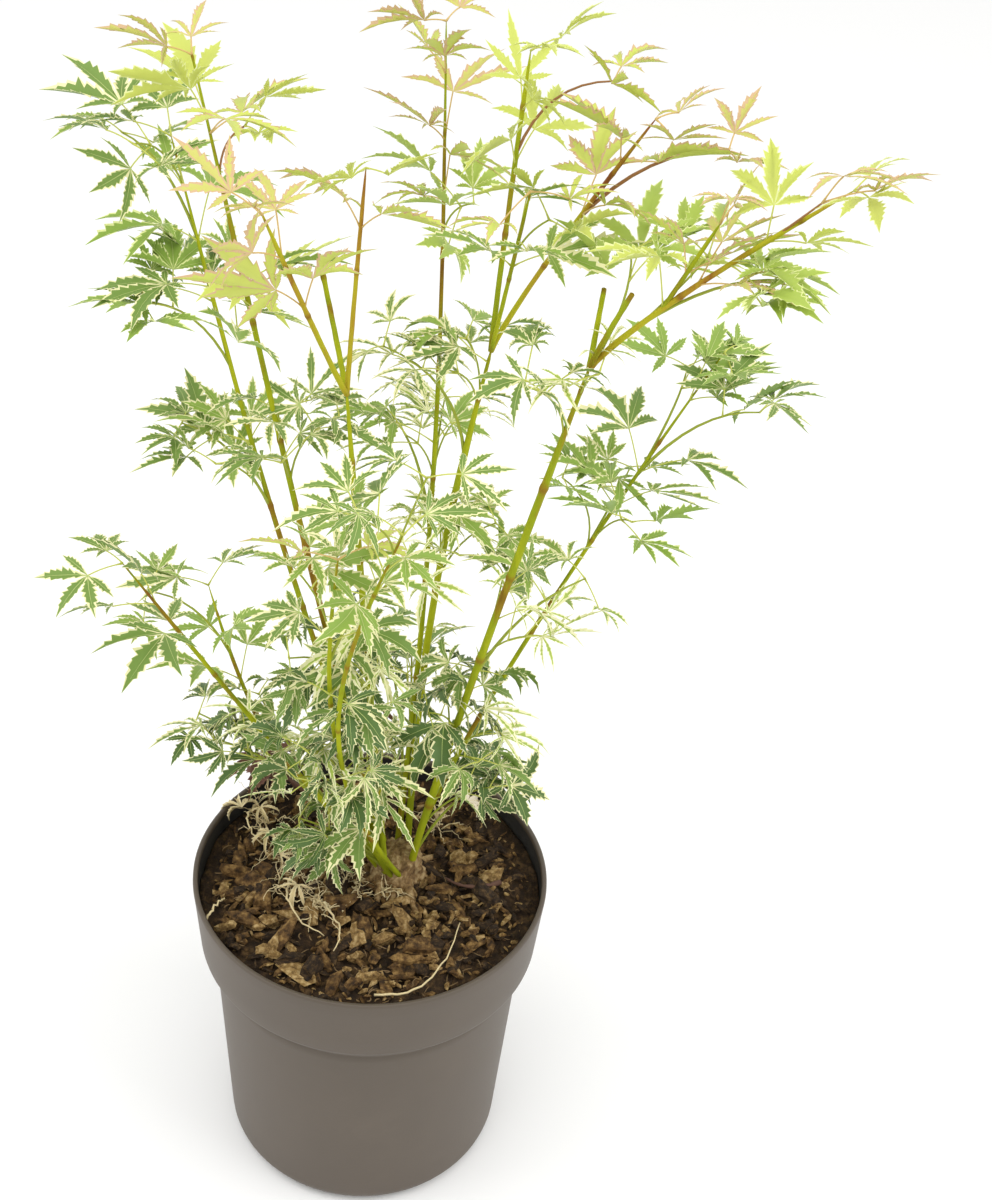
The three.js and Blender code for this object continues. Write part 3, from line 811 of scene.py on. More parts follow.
LIMB_SIDES = 12
STATIONS_LONG, STATIONS_SHORT = 70, 24
LONG_RISE = 0.15
COLLAR_SWELL = 0.22
COLLAR_STATIONS = np.array([-1.6, -0.9, -0.4, 0.0, 0.4, 0.9, 1.6]) * 0.0024
CLOSEST_STATIONS = 0.0003
NODE_STAIN, CUT_STAIN = 0.7, 0.6
TIP_TAPER_FROM, TIP_TAPER = 0.8, 0.5
BLUNT_TIP = 0.45


class Bark(Enum):
    """The bark that a limb wears, and a short name for it."""

    GREEN = ("green_bark", GREEN_BARK)
    RED = ("red_bark", RED_BARK)


@dataclass
class Limb:
    """A cane, bough or stub. Its line rises evenly, leans out along its azimuth and sways to one side.

    origin is the angle of a cane's foot on the rootstock, or the limb that a bough forks from, at fork_at.

    P(t) = start + out reach t^arch + left sway sin(pi t) + up rise t, and its radius runs from base to tip
    with t^0.7. Lengths are in metres and angles in degrees.
    """

    name: str
    origin: float | str
    azimuth: float
    reach: float
    rise: float
    arch: float
    sway: float
    base: float
    tip: float
    bark: Bark = Bark.GREEN
    cut: bool = False
    fork_at: float = 1.0
    start: Array = field(default_factory=lambda: np.zeros(3))

    def point(self, t: Array | float) -> Array:
        """Points of the centre line at shares t of the limb."""
        share = np.atleast_1d(np.asarray(t, dtype=float))
        turn = math.radians(self.azimuth)
        out = np.array([math.cos(turn), math.sin(turn), 0.0])
        left = np.array([-math.sin(turn), math.cos(turn), 0.0])
        lean = self.reach * np.maximum(share, 0.0) ** self.arch
        bow = self.sway * np.sin(math.pi * share)
        return self.start + lean[:, None] * out + bow[:, None] * left + (self.rise * share)[:, None] * UP

    def way(self, t: float) -> Array:
        """The direction of growth at a share t."""
        low, high = max(t - 0.02, 0.01), min(t + 0.02, 1.0)
        ends = self.point(np.array([low, high]))
        return unit(ends[1] - ends[0])

    def radius(self, t: Array | float) -> Array:
        """The limb's radius at shares t: base + (tip - base) t^0.7."""
        return self.base + (self.tip - self.base) * np.clip(t, 0.0, 1.0) ** 0.7

    def share_at_height(self, height: float) -> float:
        """The share at which the line is at a height."""
        return float(np.clip((height - self.start[2]) / self.rise, 0.03, 1.0))

    def build(self, node_gap: float) -> None:
        """Makes the limb: ridged bark with a swollen collar at every node, and a flat end if it was cut.

        The radius is r(t) (1 + swell exp(-(d / w)^2) + ridges), with d the distance to the nearest node and
        the ridges 0.035 sin(5 a + 40 t) + 0.03 sin(2 a - 23 t). An uncut limb also narrows to its tip.

        Args:
            node_gap: Distance between nodes along the limb.
        """
        even = np.linspace(0.0, 1.0, STATIONS_LONG if self.rise > LONG_RISE else STATIONS_SHORT)
        length = float(np.linalg.norm(np.diff(self.point(even), axis=0), axis=1).sum())
        nodes = np.arange(node_gap, length, node_gap) / length
        beside = COLLAR_STATIONS / length
        t = np.unique(np.clip(np.concatenate([even, (nodes[:, None] + beside).ravel()]), 0.0, 1.0))
        t = t[np.concatenate([[True], np.diff(t) > CLOSEST_STATIONS / length])]
        path = self.point(t)
        radius = self.radius(t)
        off_node = np.full(len(t), 1.0)
        if len(nodes):
            off_node = np.abs(t[:, None] - nodes[None]).min(axis=1) * length
        collar = np.exp(-((off_node / (0.6 * radius + 0.0009)) ** 2))
        lobes = np.arange(LIMB_SIDES) * TURN / LIMB_SIDES
        _, across, up = ring_frames(path[None])
        spokes = across[0][:, None] * np.cos(lobes)[:, None] + up[0][:, None] * np.sin(lobes)[:, None]
        ridges = 0.035 * np.sin(5 * lobes[None] + 40 * t[:, None])
        ridges = ridges + 0.03 * np.sin(2 * lobes[None] - 23 * t[:, None])
        if not self.cut:
            radius = radius * (1 - TIP_TAPER * smooth_step((t - TIP_TAPER_FROM) / 0.2))
        swollen = radius[:, None] * (1 + COLLAR_SWELL * collar[:, None] + ridges)
        if not self.cut:
            swollen[-1] *= BLUNT_TIP
        rings = path[:, None] + swollen[..., None] * spokes
        limb = make_piece(self.name + "_bark", closed_tube(rings), self.bark.value[1])
        stain = np.repeat(np.clip(collar * NODE_STAIN, 0, 1)[:, None], LIMB_SIDES, axis=1).ravel()
        if self.cut:
            stain[-2 * LIMB_SIDES:] = CUT_STAIN
        set_mark(limb, "collar", np.concatenate([stain, [stain[0], stain[-1]]]))
        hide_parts(self.name)


CANES = (
    Limb("left_back_cane", 125, 149, 0.136, 0.374, 1.23, 0.016, 0.0020, 0.0009),
    Limb("left_tall_cane", 182, 170, 0.091, 0.436, 1.36, 0.021, 0.0022, 0.0010),
    Limb("centre_cane", 240, -128, 0.037, 0.314, 0.97, 0.0, 0.0019, 0.0015),
    Limb("back_tall_cane", 90, 90, 0.080, 0.433, 1.05, -0.007, 0.0018, 0.0008),
    Limb("middle_cane", 55, 42, 0.035, 0.303, 0.9, 0.012, 0.0020, 0.0016),
    Limb("right_cane", 335, -31, 0.076, 0.339, 1.11, 0.001, 0.0021, 0.0017),
    Limb("right_back_cane", 20, 29, 0.154, 0.287, 1.45, -0.006, 0.0017, 0.0008),
    Limb("front_shoot", 268, -107, 0.082, 0.264, 0.8, -0.015, 0.0016, 0.0009),
    Limb("front_right_shoot", 298, -90, 0.105, 0.297, 0.8, -0.029, 0.0016, 0.0009),
    Limb("low_left_cane", 210, -169, 0.125, 0.209, 1.04, 0.005, 0.0017, 0.0009),
    Limb("low_back_cane", 155, 154, 0.110, 0.140, 0.98, 0.020, 0.0016, 0.0009),
)
BOUGHS = (
    Limb("front_left_bough", "centre_cane", -119, 0.056, 0.102, 0.95, 0, 0.0013, 0.0009, Bark.RED),
    Limb("upright_bough", "centre_cane", 56, 0.009, 0.099, 1.1, 0, 0.0012, 0.0008, Bark.RED),
    Limb("left_cut_stub", "centre_cane", 110, 0.055, 0.038, 1.07, 0, 0.0013, 0.0011, cut=True),
    Limb("top_bough", "middle_cane", 69, 0.020, 0.134, 1.2, 0, 0.0014, 0.0010),
    Limb("right_high_bough", "middle_cane", -25, 0.066, 0.127, 1.13, 0, 0.0014, 0.0009, Bark.RED),
    Limb("slender_bough", "middle_cane", -77, 0.053, 0.102, 0.98, 0, 0.0011, 0.0008),
    Limb("long_arching_bough", "right_cane", -13, 0.092, 0.096, 1.17, 0, 0.0015, 0.0009, Bark.RED),
    Limb("rising_side_bough", "long_arching_bough", -10, 0.0175, 0.0395, 1, 0, 0.0011, 0.0008, fork_at=0.35),
    Limb("front_cut_stub", "right_cane", -53, 0.021, 0.044, 1.1, 0, 0.0013, 0.0011, cut=True),
    Limb("back_cut_stub", "right_cane", 83, 0.034, 0.020, 1.1, 0, 0.0013, 0.0011, cut=True),
)


@dataclass
class Frame:
    """The canes on their feet and the boughs on the canes."""

    foot_ring: float = 9 * MM
    foot_height: float = 8 * MM
    node_gap: float = 56 * MM
    limbs: dict[str, Limb] = field(default_factory=dict)

    def place(self, rootstock: Rootstock) -> None:
        """Puts each cane's start on the ring of feet, and each bough's where it forks."""
        for cane in CANES:
            turn = math.radians(float(cane.origin))
            foot = np.array([math.cos(turn), math.sin(turn), 0.0]) * self.foot_ring
            cane.start = np.array(rootstock.centre) + foot + UP * self.foot_height
            self.limbs[cane.name] = cane
        for bough in BOUGHS:
            bough.start = self.limbs[str(bough.origin)].point(bough.fork_at)[0]
            self.limbs[bough.name] = bough

    def build(self) -> None:
        """Makes every limb."""
        for limb in self.limbs.values():
            limb.build(self.node_gap)


# ---- Leaves ----


@dataclass(frozen=True)
class Dress:
    """How the leaves of a spray are coloured and cut."""

    blade: Blade
    edge: Edge
    margin: Span
    breadth: Span
    red_stalk: bool = False


class LeafDress(Enum):
    """The dresses that are dealt out to the sprays."""

    LIME_PINK = Dress(Blade.LIME, Edge.PINK, (0.12, 0.30), (0.064, 0.096), True)
    GOLD_PINK = Dress(Blade.GOLD, Edge.PINK, (0.25, 0.50), (0.050, 0.080), True)
    LIME = Dress(Blade.LIME, Edge.PALE, (0.06, 0.18), (0.074, 0.102))
    FRESH = Dress(Blade.FRESH, Edge.PALE, (0.08, 0.20), (0.076, 0.106))
    MID = Dress(Blade.MID, Edge.PALE, (0.07, 0.18), (0.078, 0.108))
    MID_CREAM = Dress(Blade.MID, Edge.CREAM, (0.14, 0.34), (0.074, 0.106))
    SHADE_CREAM = Dress(Blade.SHADE, Edge.CREAM, (0.14, 0.36), (0.076, 0.108))
    DEEP_CREAM = Dress(Blade.DEEP, Edge.CREAM, (0.10, 0.26), (0.078, 0.115))
    SLIM_CREAM = Dress(Blade.SHADE, Edge.CREAM, (0.40, 0.75), (0.042, 0.072))
    DRY = Dress(Blade.DRY, Edge.STRAW, (0.30, 0.60), (0.045, 0.080), True)
    DEAD = Dress(Blade.DEAD, Edge.BROWN, (0.10, 0.30), (0.060, 0.100), True)
    BLEACHED = Dress(Blade.BLEACHED, Edge.STRAW, (0.10, 0.25), (0.070, 0.110), True)
    SLIM_IVORY = Dress(Blade.FRESH, Edge.IVORY, (0.60, 0.90), (0.034, 0.058))


@dataclass(frozen=True)
class Habit:
    """How the leaves of a zone hang, and how large and how many they are.

    fall is how far a leaf points below level, so that a negative one points up. fold is the slope of a lobe's
    two halves away from its midrib, roll the spread of the leaves' sideways tilt, and lean how far their
    faces turn to the back.
    """

    mix: tuple[tuple[LeafDress, float], ...]
    lobe: Span
    fall: Span
    curl: Span
    stalk: Span
    fold: Span
    roll: float
    density: float
    red_shoot: bool = False
    lean: float = 0.0


class Zone(Enum):
    """Where in the crown a mass of leaves hangs."""

    CREST = Habit(
        ((LeafDress.LIME_PINK, 0.42), (LeafDress.GOLD_PINK, 0.30), (LeafDress.LIME, 0.28)),
        lobe=(0.028, 0.042), fall=(-0.75, 0.05), curl=(0.1, 0.7), stalk=(0.014, 0.026), fold=(0.3, 0.9),
        roll=0.40, density=0.52, red_shoot=True, lean=0.55,
    )
    UPPER = Habit(
        (
            (LeafDress.LIME, 0.30), (LeafDress.FRESH, 0.36),
            (LeafDress.LIME_PINK, 0.18), (LeafDress.MID_CREAM, 0.16),
        ),
        lobe=(0.027, 0.040), fall=(-0.65, 0.20), curl=(0.2, 0.9), stalk=(0.016, 0.030), fold=(0.25, 0.8),
        roll=0.40, density=0.62, lean=0.35,
    )
    SIDE = Habit(
        ((LeafDress.MID, 0.42), (LeafDress.SHADE_CREAM, 0.26), (LeafDress.MID_CREAM, 0.32)),
        lobe=(0.028, 0.042), fall=(-0.50, 0.30), curl=(0.15, 0.9), stalk=(0.016, 0.030), fold=(0.25, 0.7),
        roll=0.36, density=0.62, lean=0.20,
    )
    HEART = Habit(
        ((LeafDress.SHADE_CREAM, 0.38), (LeafDress.MID_CREAM, 0.24), (LeafDress.LIME_PINK, 0.12),
         (LeafDress.SLIM_CREAM, 0.20), (LeafDress.SLIM_IVORY, 0.12)),
        lobe=(0.022, 0.036), fall=(-0.35, 0.55), curl=(0.3, 1.3), stalk=(0.014, 0.028), fold=(0.25, 0.8),
        roll=0.45, density=0.86, lean=0.10,
    )
    SKIRT = Habit(
        ((LeafDress.DEEP_CREAM, 0.38), (LeafDress.SHADE_CREAM, 0.25), (LeafDress.SLIM_CREAM, 0.21),
         (LeafDress.SLIM_IVORY, 0.16)),
        lobe=(0.022, 0.037), fall=(-0.05, 0.95), curl=(0.5, 1.5), stalk=(0.012, 0.026), fold=(0.25, 0.8),
        roll=0.50, density=1.05,
    )


@dataclass(frozen=True)
class Mass:
    """A mass of leaves, its limb, the share of the limb where it hangs and how full it is for its zone."""

    name: str
    limb: str
    at: float
    zone: Zone
    ends_limb: bool = False
    fullness: float = 1.0

    def middle(self) -> Array:
        """The middle of the mass's box in the frame."""
        low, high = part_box(self.name)
        return (np.array(low) + np.array(high)) / 2

    def half(self) -> Array:
        """Half the size of the mass's box in the frame."""
        low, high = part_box(self.name)
        return (np.array(high) - np.array(low)) / 2


MASSES = (
    Mass("crest_left", "left_tall_cane", 1.0, Zone.CREST, True),
    Mass("shoulder_left", "left_back_cane", 0.99, Zone.SIDE, True),
    Mass("sprig_left", "left_tall_cane", 0.93, Zone.CREST),
    Mass("tuft_front_left", "front_left_bough", 1.0, Zone.CREST, True),
    Mass("tuft_centre", "upright_bough", 0.97, Zone.CREST, True),
    Mass("crest_back", "back_tall_cane", 0.97, Zone.CREST, True),
    Mass("waist_back", "back_tall_cane", 0.82, Zone.UPPER),
    Mass("crest_right", "top_bough", 0.97, Zone.CREST, True),
    Mass("tuft_right", "right_high_bough", 0.95, Zone.CREST, True),
    Mass("far_tip", "long_arching_bough", 1.0, Zone.CREST, True),
    Mass("far_under", "long_arching_bough", 0.6, Zone.UPPER),
    Mass("far_over", "rising_side_bough", 1.0, Zone.CREST, True),
    Mass("inner_right", "long_arching_bough", 0.35, Zone.UPPER),
    Mass("middle_right", "slender_bough", 0.85, Zone.UPPER, True),
    Mass("shelf_left", "left_back_cane", 0.83, Zone.SIDE),
    Mass("inner_left", "left_tall_cane", 0.78, Zone.UPPER),
    Mass("flank_left", "left_back_cane", 0.64, Zone.SIDE),
    Mass("heart_left", "left_tall_cane", 0.64, Zone.HEART),
    Mass("arm_tip", "low_left_cane", 1.0, Zone.SIDE, True, 0.85),
    Mass("arm_middle", "low_back_cane", 0.97, Zone.SIDE, True, 0.75),
    Mass("heart_centre", "middle_cane", 0.98, Zone.HEART),
    Mass("heart_right", "right_cane", 0.97, Zone.HEART, fullness=0.8),
    Mass("side_right", "right_back_cane", 0.97, Zone.SIDE, True),
    Mass("front_centre", "front_right_shoot", 1.0, Zone.HEART, True),
    Mass("core", "front_shoot", 0.98, Zone.HEART, True),
    Mass("flank_right", "right_back_cane", 0.74, Zone.SIDE),
    Mass("hip_right", "right_cane", 0.56, Zone.HEART),
    Mass("belly", "middle_cane", 0.63, Zone.HEART),
    Mass("waist_low_back", "back_tall_cane", 0.55, Zone.HEART),
    Mass("skirt_middle", "centre_cane", 0.55, Zone.SKIRT, fullness=1.2),
    Mass("skirt_front", "front_shoot", 0.4, Zone.SKIRT, fullness=1.5),
    Mass("skirt_left", "low_left_cane", 0.48, Zone.SKIRT, fullness=1.2),
    Mass("skirt_right", "right_cane", 0.34, Zone.SKIRT),
    Mass("skirt_back", "back_tall_cane", 0.25, Zone.SKIRT),
    Mass("hem_front", "front_shoot", 0.13, Zone.SKIRT, fullness=1.9),
    Mass("hem_right", "right_cane", 0.17, Zone.SKIRT, fullness=1.3),
)


@dataclass
class Leaf:
    """One leaf: where its stalk ends, which way it points and faces, and how it is cut."""

    foot: Array
    axis: Array
    normal: Array
    lobe: float
    breadth: float
    margin: float
    curl: float
    fold: float
    lobes: int
    dress: Dress
    mass: str


@dataclass
class LobeShape:
    """The cut of a lobe: a lance with forward-pointing teeth and a long tapered tip.

    The half width is w(s) = (s / c)^a ((1 - s) / (1 - c))^b, which is 1 at s = c, times the lobe's breadth.
    At the first station the lobe fills the wedge that it has to itself, so that the lobes join in a palm.
    """

    stations: tuple[float, ...] = (0.0, 0.13, 0.35, 0.57, 0.79, 1.0)
    widest: float = 0.50
    rise_power: float = 1.2
    fall_power: float = 1.4
    teeth: tuple[float, ...] = (0.0, 0.36, 0.52, 0.86)
    tooth_heights: tuple[float, ...] = (0.0, 1.0, -0.25, 1.0)
    tooth_height: float = 0.42
    tooth_lean: float = 0.026
    rib_half: float = 0.00018

    def width(self, s: Array) -> Array:
        """The lance w(s), from 0 at the foot to 1 at its widest and 0 at the tip."""
        left = (s / self.widest) ** self.rise_power
        right = (np.maximum(1 - s, 0.0) / (1 - self.widest)) ** self.fall_power
        return left * right

    def outline_shares(self) -> Array:
        """Shares of the lobe at the points of its toothed edge, four to a segment, then the last station."""
        marks = np.array(self.stations[1:-1])
        steps = np.diff(marks)[:, None] * np.array(self.teeth)[None, :]
        return np.concatenate([(marks[:-1, None] + steps).ravel(), marks[-1:]])

    def outline_teeth(self) -> Array:
        """The height of each point of the toothed edge against the tooth height, lower towards the palm."""
        segments = len(self.stations) - 3
        heights = np.append(np.tile(self.tooth_heights, segments), 0.0)
        return heights * smooth_step((self.outline_shares() + 0.05) / 0.45)

    def faces(self) -> tuple[dict[str, list[Array]], int]:
        """Corner numbers of one lobe's faces for its blade and its margin, and how many points it has.

        The points are the rib's, then the left and right edges of the blade, then the two outlines.
        """
        count = len(self.stations)
        last = len(self.outline_shares()) - 1
        step = len(self.teeth)
        run = np.arange(last)
        near_rib = 1 + (run + step // 2) // step
        at_mark = step // 2 + step * np.arange(count - 3)
        blade: list[Array] = []
        margin: list[Array] = []
        for side, turn in enumerate((slice(None, None, -1), slice(None))):
            inner = count + side * (last + 1)
            outer = inner + 2 * (last + 1)
            fans = np.stack([near_rib, inner + run + 1, inner + run], axis=-1)
            steps = np.stack([1 + np.arange(count - 3), 2 + np.arange(count - 3), inner + at_mark], axis=-1)
            ends = np.array([[0, 1, inner], [count - 2, count - 1, inner + last]])
            blade.append(np.concatenate([fans, steps, ends])[:, turn])
            strip = np.stack([inner + run, inner + run + 1, outer + run + 1, outer + run], axis=-1)
            margin.append(strip[:, turn])
            margin.append(np.array([[0, inner, outer], [inner + last, count - 1, outer + last]])[:, turn])
        return {"blade": blade, "margin": margin}, count + 4 * (last + 1)


@dataclass
class Foliage:
    """Every leaf of the crown, worked out together and parted by colour."""

    shape: LobeShape = field(default_factory=LobeShape)
    spread_five: tuple[float, ...] = (0.0, 0.76, -0.76, 1.55, -1.55)
    spread_seven: tuple[float, ...] = (0.0, 0.64, -0.64, 1.28, -1.28, 2.0, -2.0)
    length_by_rank: tuple[float, ...] = (1.0, 0.86, 0.86, 0.58, 0.58, 0.34, 0.34)
    palm_share: float = 0.09
    latest_palm: float = 0.13
    least_blade: float = 0.12

    def build(self, leaves: Sequence[Leaf], rng: np.random.Generator) -> None:
        """Makes the blades, margins and midribs of all the leaves, one piece for each colour.

        Args:
            leaves: The leaves to make.
            rng: Where the random draws come from.
        """
        table = self._lobes(leaves, rng)
        points = self._points(table, rng)
        groups, per_lobe = self.shape.faces()
        tones = {
            "blade": np.array([leaf.dress.blade.name for leaf in leaves])[table["leaf"]],
            "margin": np.array([leaf.dress.edge.name for leaf in leaves])[table["leaf"]],
        }
        masses = np.array([leaf.mass for leaf in leaves])[table["leaf"]]
        main_tone = {}
        for mass in MASSES:
            lobes_of = {tone: int((tones["blade"][masses == mass.name] == tone.name).sum()) for tone in Blade}
            main_tone[mass.name] = max(Blade, key=lobes_of.__getitem__)
        for part, choices in (("blade", Blade), ("margin", Edge)):
            for tone in choices:
                chosen = np.flatnonzero(tones[part] == tone.name)
                if not len(chosen):
                    continue
                surface = self._part(points[chosen], groups[part], per_lobe)
                piece = make_piece(f"{tone.value.name}s", surface, tone.value, smooth=part == "blade")
                stood_for = [mass.name for mass in MASSES if main_tone[mass.name] is tone]
                if stood_for:
                    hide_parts(*stood_for)
        ribbed = np.isin(tones["blade"], [tone.name for tone in (Blade.DEEP, Blade.SHADE, Blade.MID)])
        make_piece("pale_midribs", self._midribs(table, ribbed), RIB_FINISH)

    def _part(self, points: Array, group: list[Array], per_lobe: int) -> Surface:
        """One kind of face of the chosen lobes as a surface, without the points that it leaves unused."""
        step = per_lobe * np.arange(len(points))[:, None, None]
        faces = [(face[None] + step).reshape(-1, face.shape[1]) for face in group]
        used = np.unique(np.concatenate([face.ravel() for face in faces]))
        renumber = np.zeros(len(points) * per_lobe, dtype=np.int64)
        renumber[used] = np.arange(len(used))
        return Surface(points.reshape(-1, 3)[used], [renumber[face] for face in faces])

    def _lobes(self, leaves: Sequence[Leaf], rng: np.random.Generator) -> dict[str, Array]:
        """The lobes of all the leaves as a table of arrays, one row to a lobe."""
        rows: dict[str, list[Array]] = {key: [] for key in ("leaf", "angle", "length", "wedge")}
        for number, leaf in enumerate(leaves):
            angles = np.array(self.spread_five if leaf.lobes == 5 else self.spread_seven)
            lengths = np.array(self.length_by_rank[: leaf.lobes]) * leaf.lobe
            spread = rng.uniform(0.86, 1.08)
            rows["leaf"].append(np.full(leaf.lobes, number))
            rows["angle"].append(angles * spread + rng.normal(0.0, 0.06, leaf.lobes))
            rows["length"].append(lengths * rng.uniform(0.84, 1.14, leaf.lobes))
            rows["wedge"].append(np.full(leaf.lobes, angles[1] * spread * 0.5))
        table = {key: np.concatenate(value) for key, value in rows.items()}
        lobes = len(table["leaf"])
        pick = table["leaf"]
        for key in ("foot", "axis", "normal", "breadth", "margin", "curl", "fold"):
            table[key] = np.array([getattr(leaf, key) for leaf in leaves])[pick]
        palm = np.array([leaf.lobe for leaf in leaves])[pick] * self.palm_share
        table["palm_at"] = np.minimum(palm * np.cos(table["wedge"]) / table["length"], self.latest_palm)
        table["breadth"] = table["breadth"] * rng.uniform(0.84, 1.16, lobes)
        table["margin"] = np.clip(table["margin"] * rng.uniform(0.6, 1.4, lobes), 0.04, 0.95)
        table["curl"] = table["curl"] * rng.uniform(0.6, 1.4, lobes) + 0.12 * np.abs(table["angle"])
        table["lift"] = rng.uniform(0.02, 0.30, lobes) + 0.25 * table["curl"]
        table["fold"] = table["fold"] * rng.uniform(0.7, 1.3, lobes)
        table["sickle"] = rng.normal(0.0, 0.12, lobes)
        table["twist"] = rng.normal(0.0, 0.45, lobes)
        return table

    def _points(self, table: dict[str, Array], rng: np.random.Generator) -> Array:
        """The points of every lobe, as (lobes, points in a lobe, 3).

        A lobe runs out along an arc: with slope p(s) = lift - curl s, its middle line is
        x = length (sin lift - sin p) / curl and z = length (cos p - cos lift) / curl. The blade stops short
        of the outline by the margin, which keeps its width past the teeth and up to the tip.

        Args:
            table: The lobes.
            rng: Where the random draws come from.

        Returns:
            The points.
        """
        shape = self.shape
        lobes = len(table["leaf"])
        rib = np.array(shape.stations)
        outline = shape.outline_shares()
        teeth = shape.outline_teeth()[None]
        widest = (table["breadth"] * table["length"])[:, None]
        plain = shape.width(outline)[None] * widest
        plain[:, 0] = table["palm_at"] * table["length"] * np.tan(table["wedge"])
        plain[:, 1:3] = np.maximum(plain[:, 1:3], plain[:, :1] * np.array([0.8, 0.7]))
        edges = []
        for _ in range(2):
            outer = plain * (1 + shape.tooth_height * teeth * rng.uniform(0.3, 1.5, (lobes, len(outline))))
            margin = table["margin"][:, None] * widest * rng.uniform(0.5, 1.5, (lobes, len(outline)))
            inner = np.maximum(outer - margin, self.least_blade * outer)
            edges.append((outer, inner))
        lean = np.broadcast_to(shape.tooth_lean * np.maximum(teeth, 0.0), (lobes, len(outline)))
        reach = np.tile(outline, (lobes, 1))
        reach[:, 0] = table["palm_at"]
        along = [np.broadcast_to(rib, (lobes, len(rib)))]
        across = [np.zeros((lobes, len(rib)))]
        wave = [np.zeros((lobes, len(rib)))]
        for which in (1, 0):
            for side in (0, 1):
                wide = edges[side][which]
                along.append(reach + lean * (1.0 if which == 0 else 0.6))
                across.append(wide * (1 - 2 * side))
                wave.append(rng.normal(0.0, 0.10, wide.shape) * wide if which == 0 else np.zeros(wide.shape))
        s, y, ripple_z = (np.concatenate(part, axis=1) for part in (along, across, wave))
        return self._bend(table, s, y, ripple_z)

    def _bend(self, table: dict[str, Array], s: Array, y: Array, wave: Array) -> Array:
        """Carries flat lobes, given as shares along and distances across, onto their arcs."""
        lift, curl = table["lift"][:, None], np.maximum(table["curl"][:, None], 0.05)
        length = table["length"][:, None]
        slope = lift - curl * s
        x = length * (np.sin(lift) - np.sin(slope)) / curl
        z = length * (np.cos(slope) - np.cos(lift)) / curl
        side = np.cross(table["normal"], table["axis"])
        cos, sin = np.cos(table["angle"])[:, None], np.sin(table["angle"])[:, None]
        out = (table["axis"] * cos + side * sin)[:, None, :]
        left = (side * cos - table["axis"] * sin)[:, None, :]
        normal = table["normal"][:, None, :]
        twist = table["twist"][:, None] * s**2
        bent_normal = normal * np.cos(slope)[..., None] - out * np.sin(slope)[..., None]
        rolled_left = left * np.cos(twist)[..., None] + bent_normal * np.sin(twist)[..., None]
        rolled_up = bent_normal * np.cos(twist)[..., None] - left * np.sin(twist)[..., None]
        sideways = y[..., None] * rolled_left + (table["sickle"][:, None] * length * s**2)[..., None] * left
        folded = table["fold"][:, None] * np.abs(y) * smooth_step(s / 0.4)
        raised = (folded + wave)[..., None] * rolled_up
        return table["foot"][:, None] + x[..., None] * out + z[..., None] * normal + sideways + raised

    def _midribs(self, table: dict[str, Array], ribbed: Array) -> Surface:
        """A pale strip along the middle of each darker lobe, just above its blade."""
        rib = np.array(self.shape.stations)
        chosen = {key: value[ribbed] for key, value in table.items()}
        s = np.broadcast_to(rib[:-1], (int(ribbed.sum()), len(rib) - 1))
        half = self.shape.rib_half * (1.1 - rib[:-1])[None] * np.ones_like(s)
        above = np.full_like(s, 0.00022)
        rails = np.stack([self._bend(chosen, s, half, above), self._bend(chosen, s, -half, above)], axis=2)
        count = len(rib) - 1
        face = grid_faces(count, 2, False)[:, ::-1]
        step = 2 * count * np.arange(len(rails))[:, None, None]
        return Surface(rails.reshape(-1, 3), [(face[None] + step).reshape(-1, 4)])


# ---- The branching rule ----


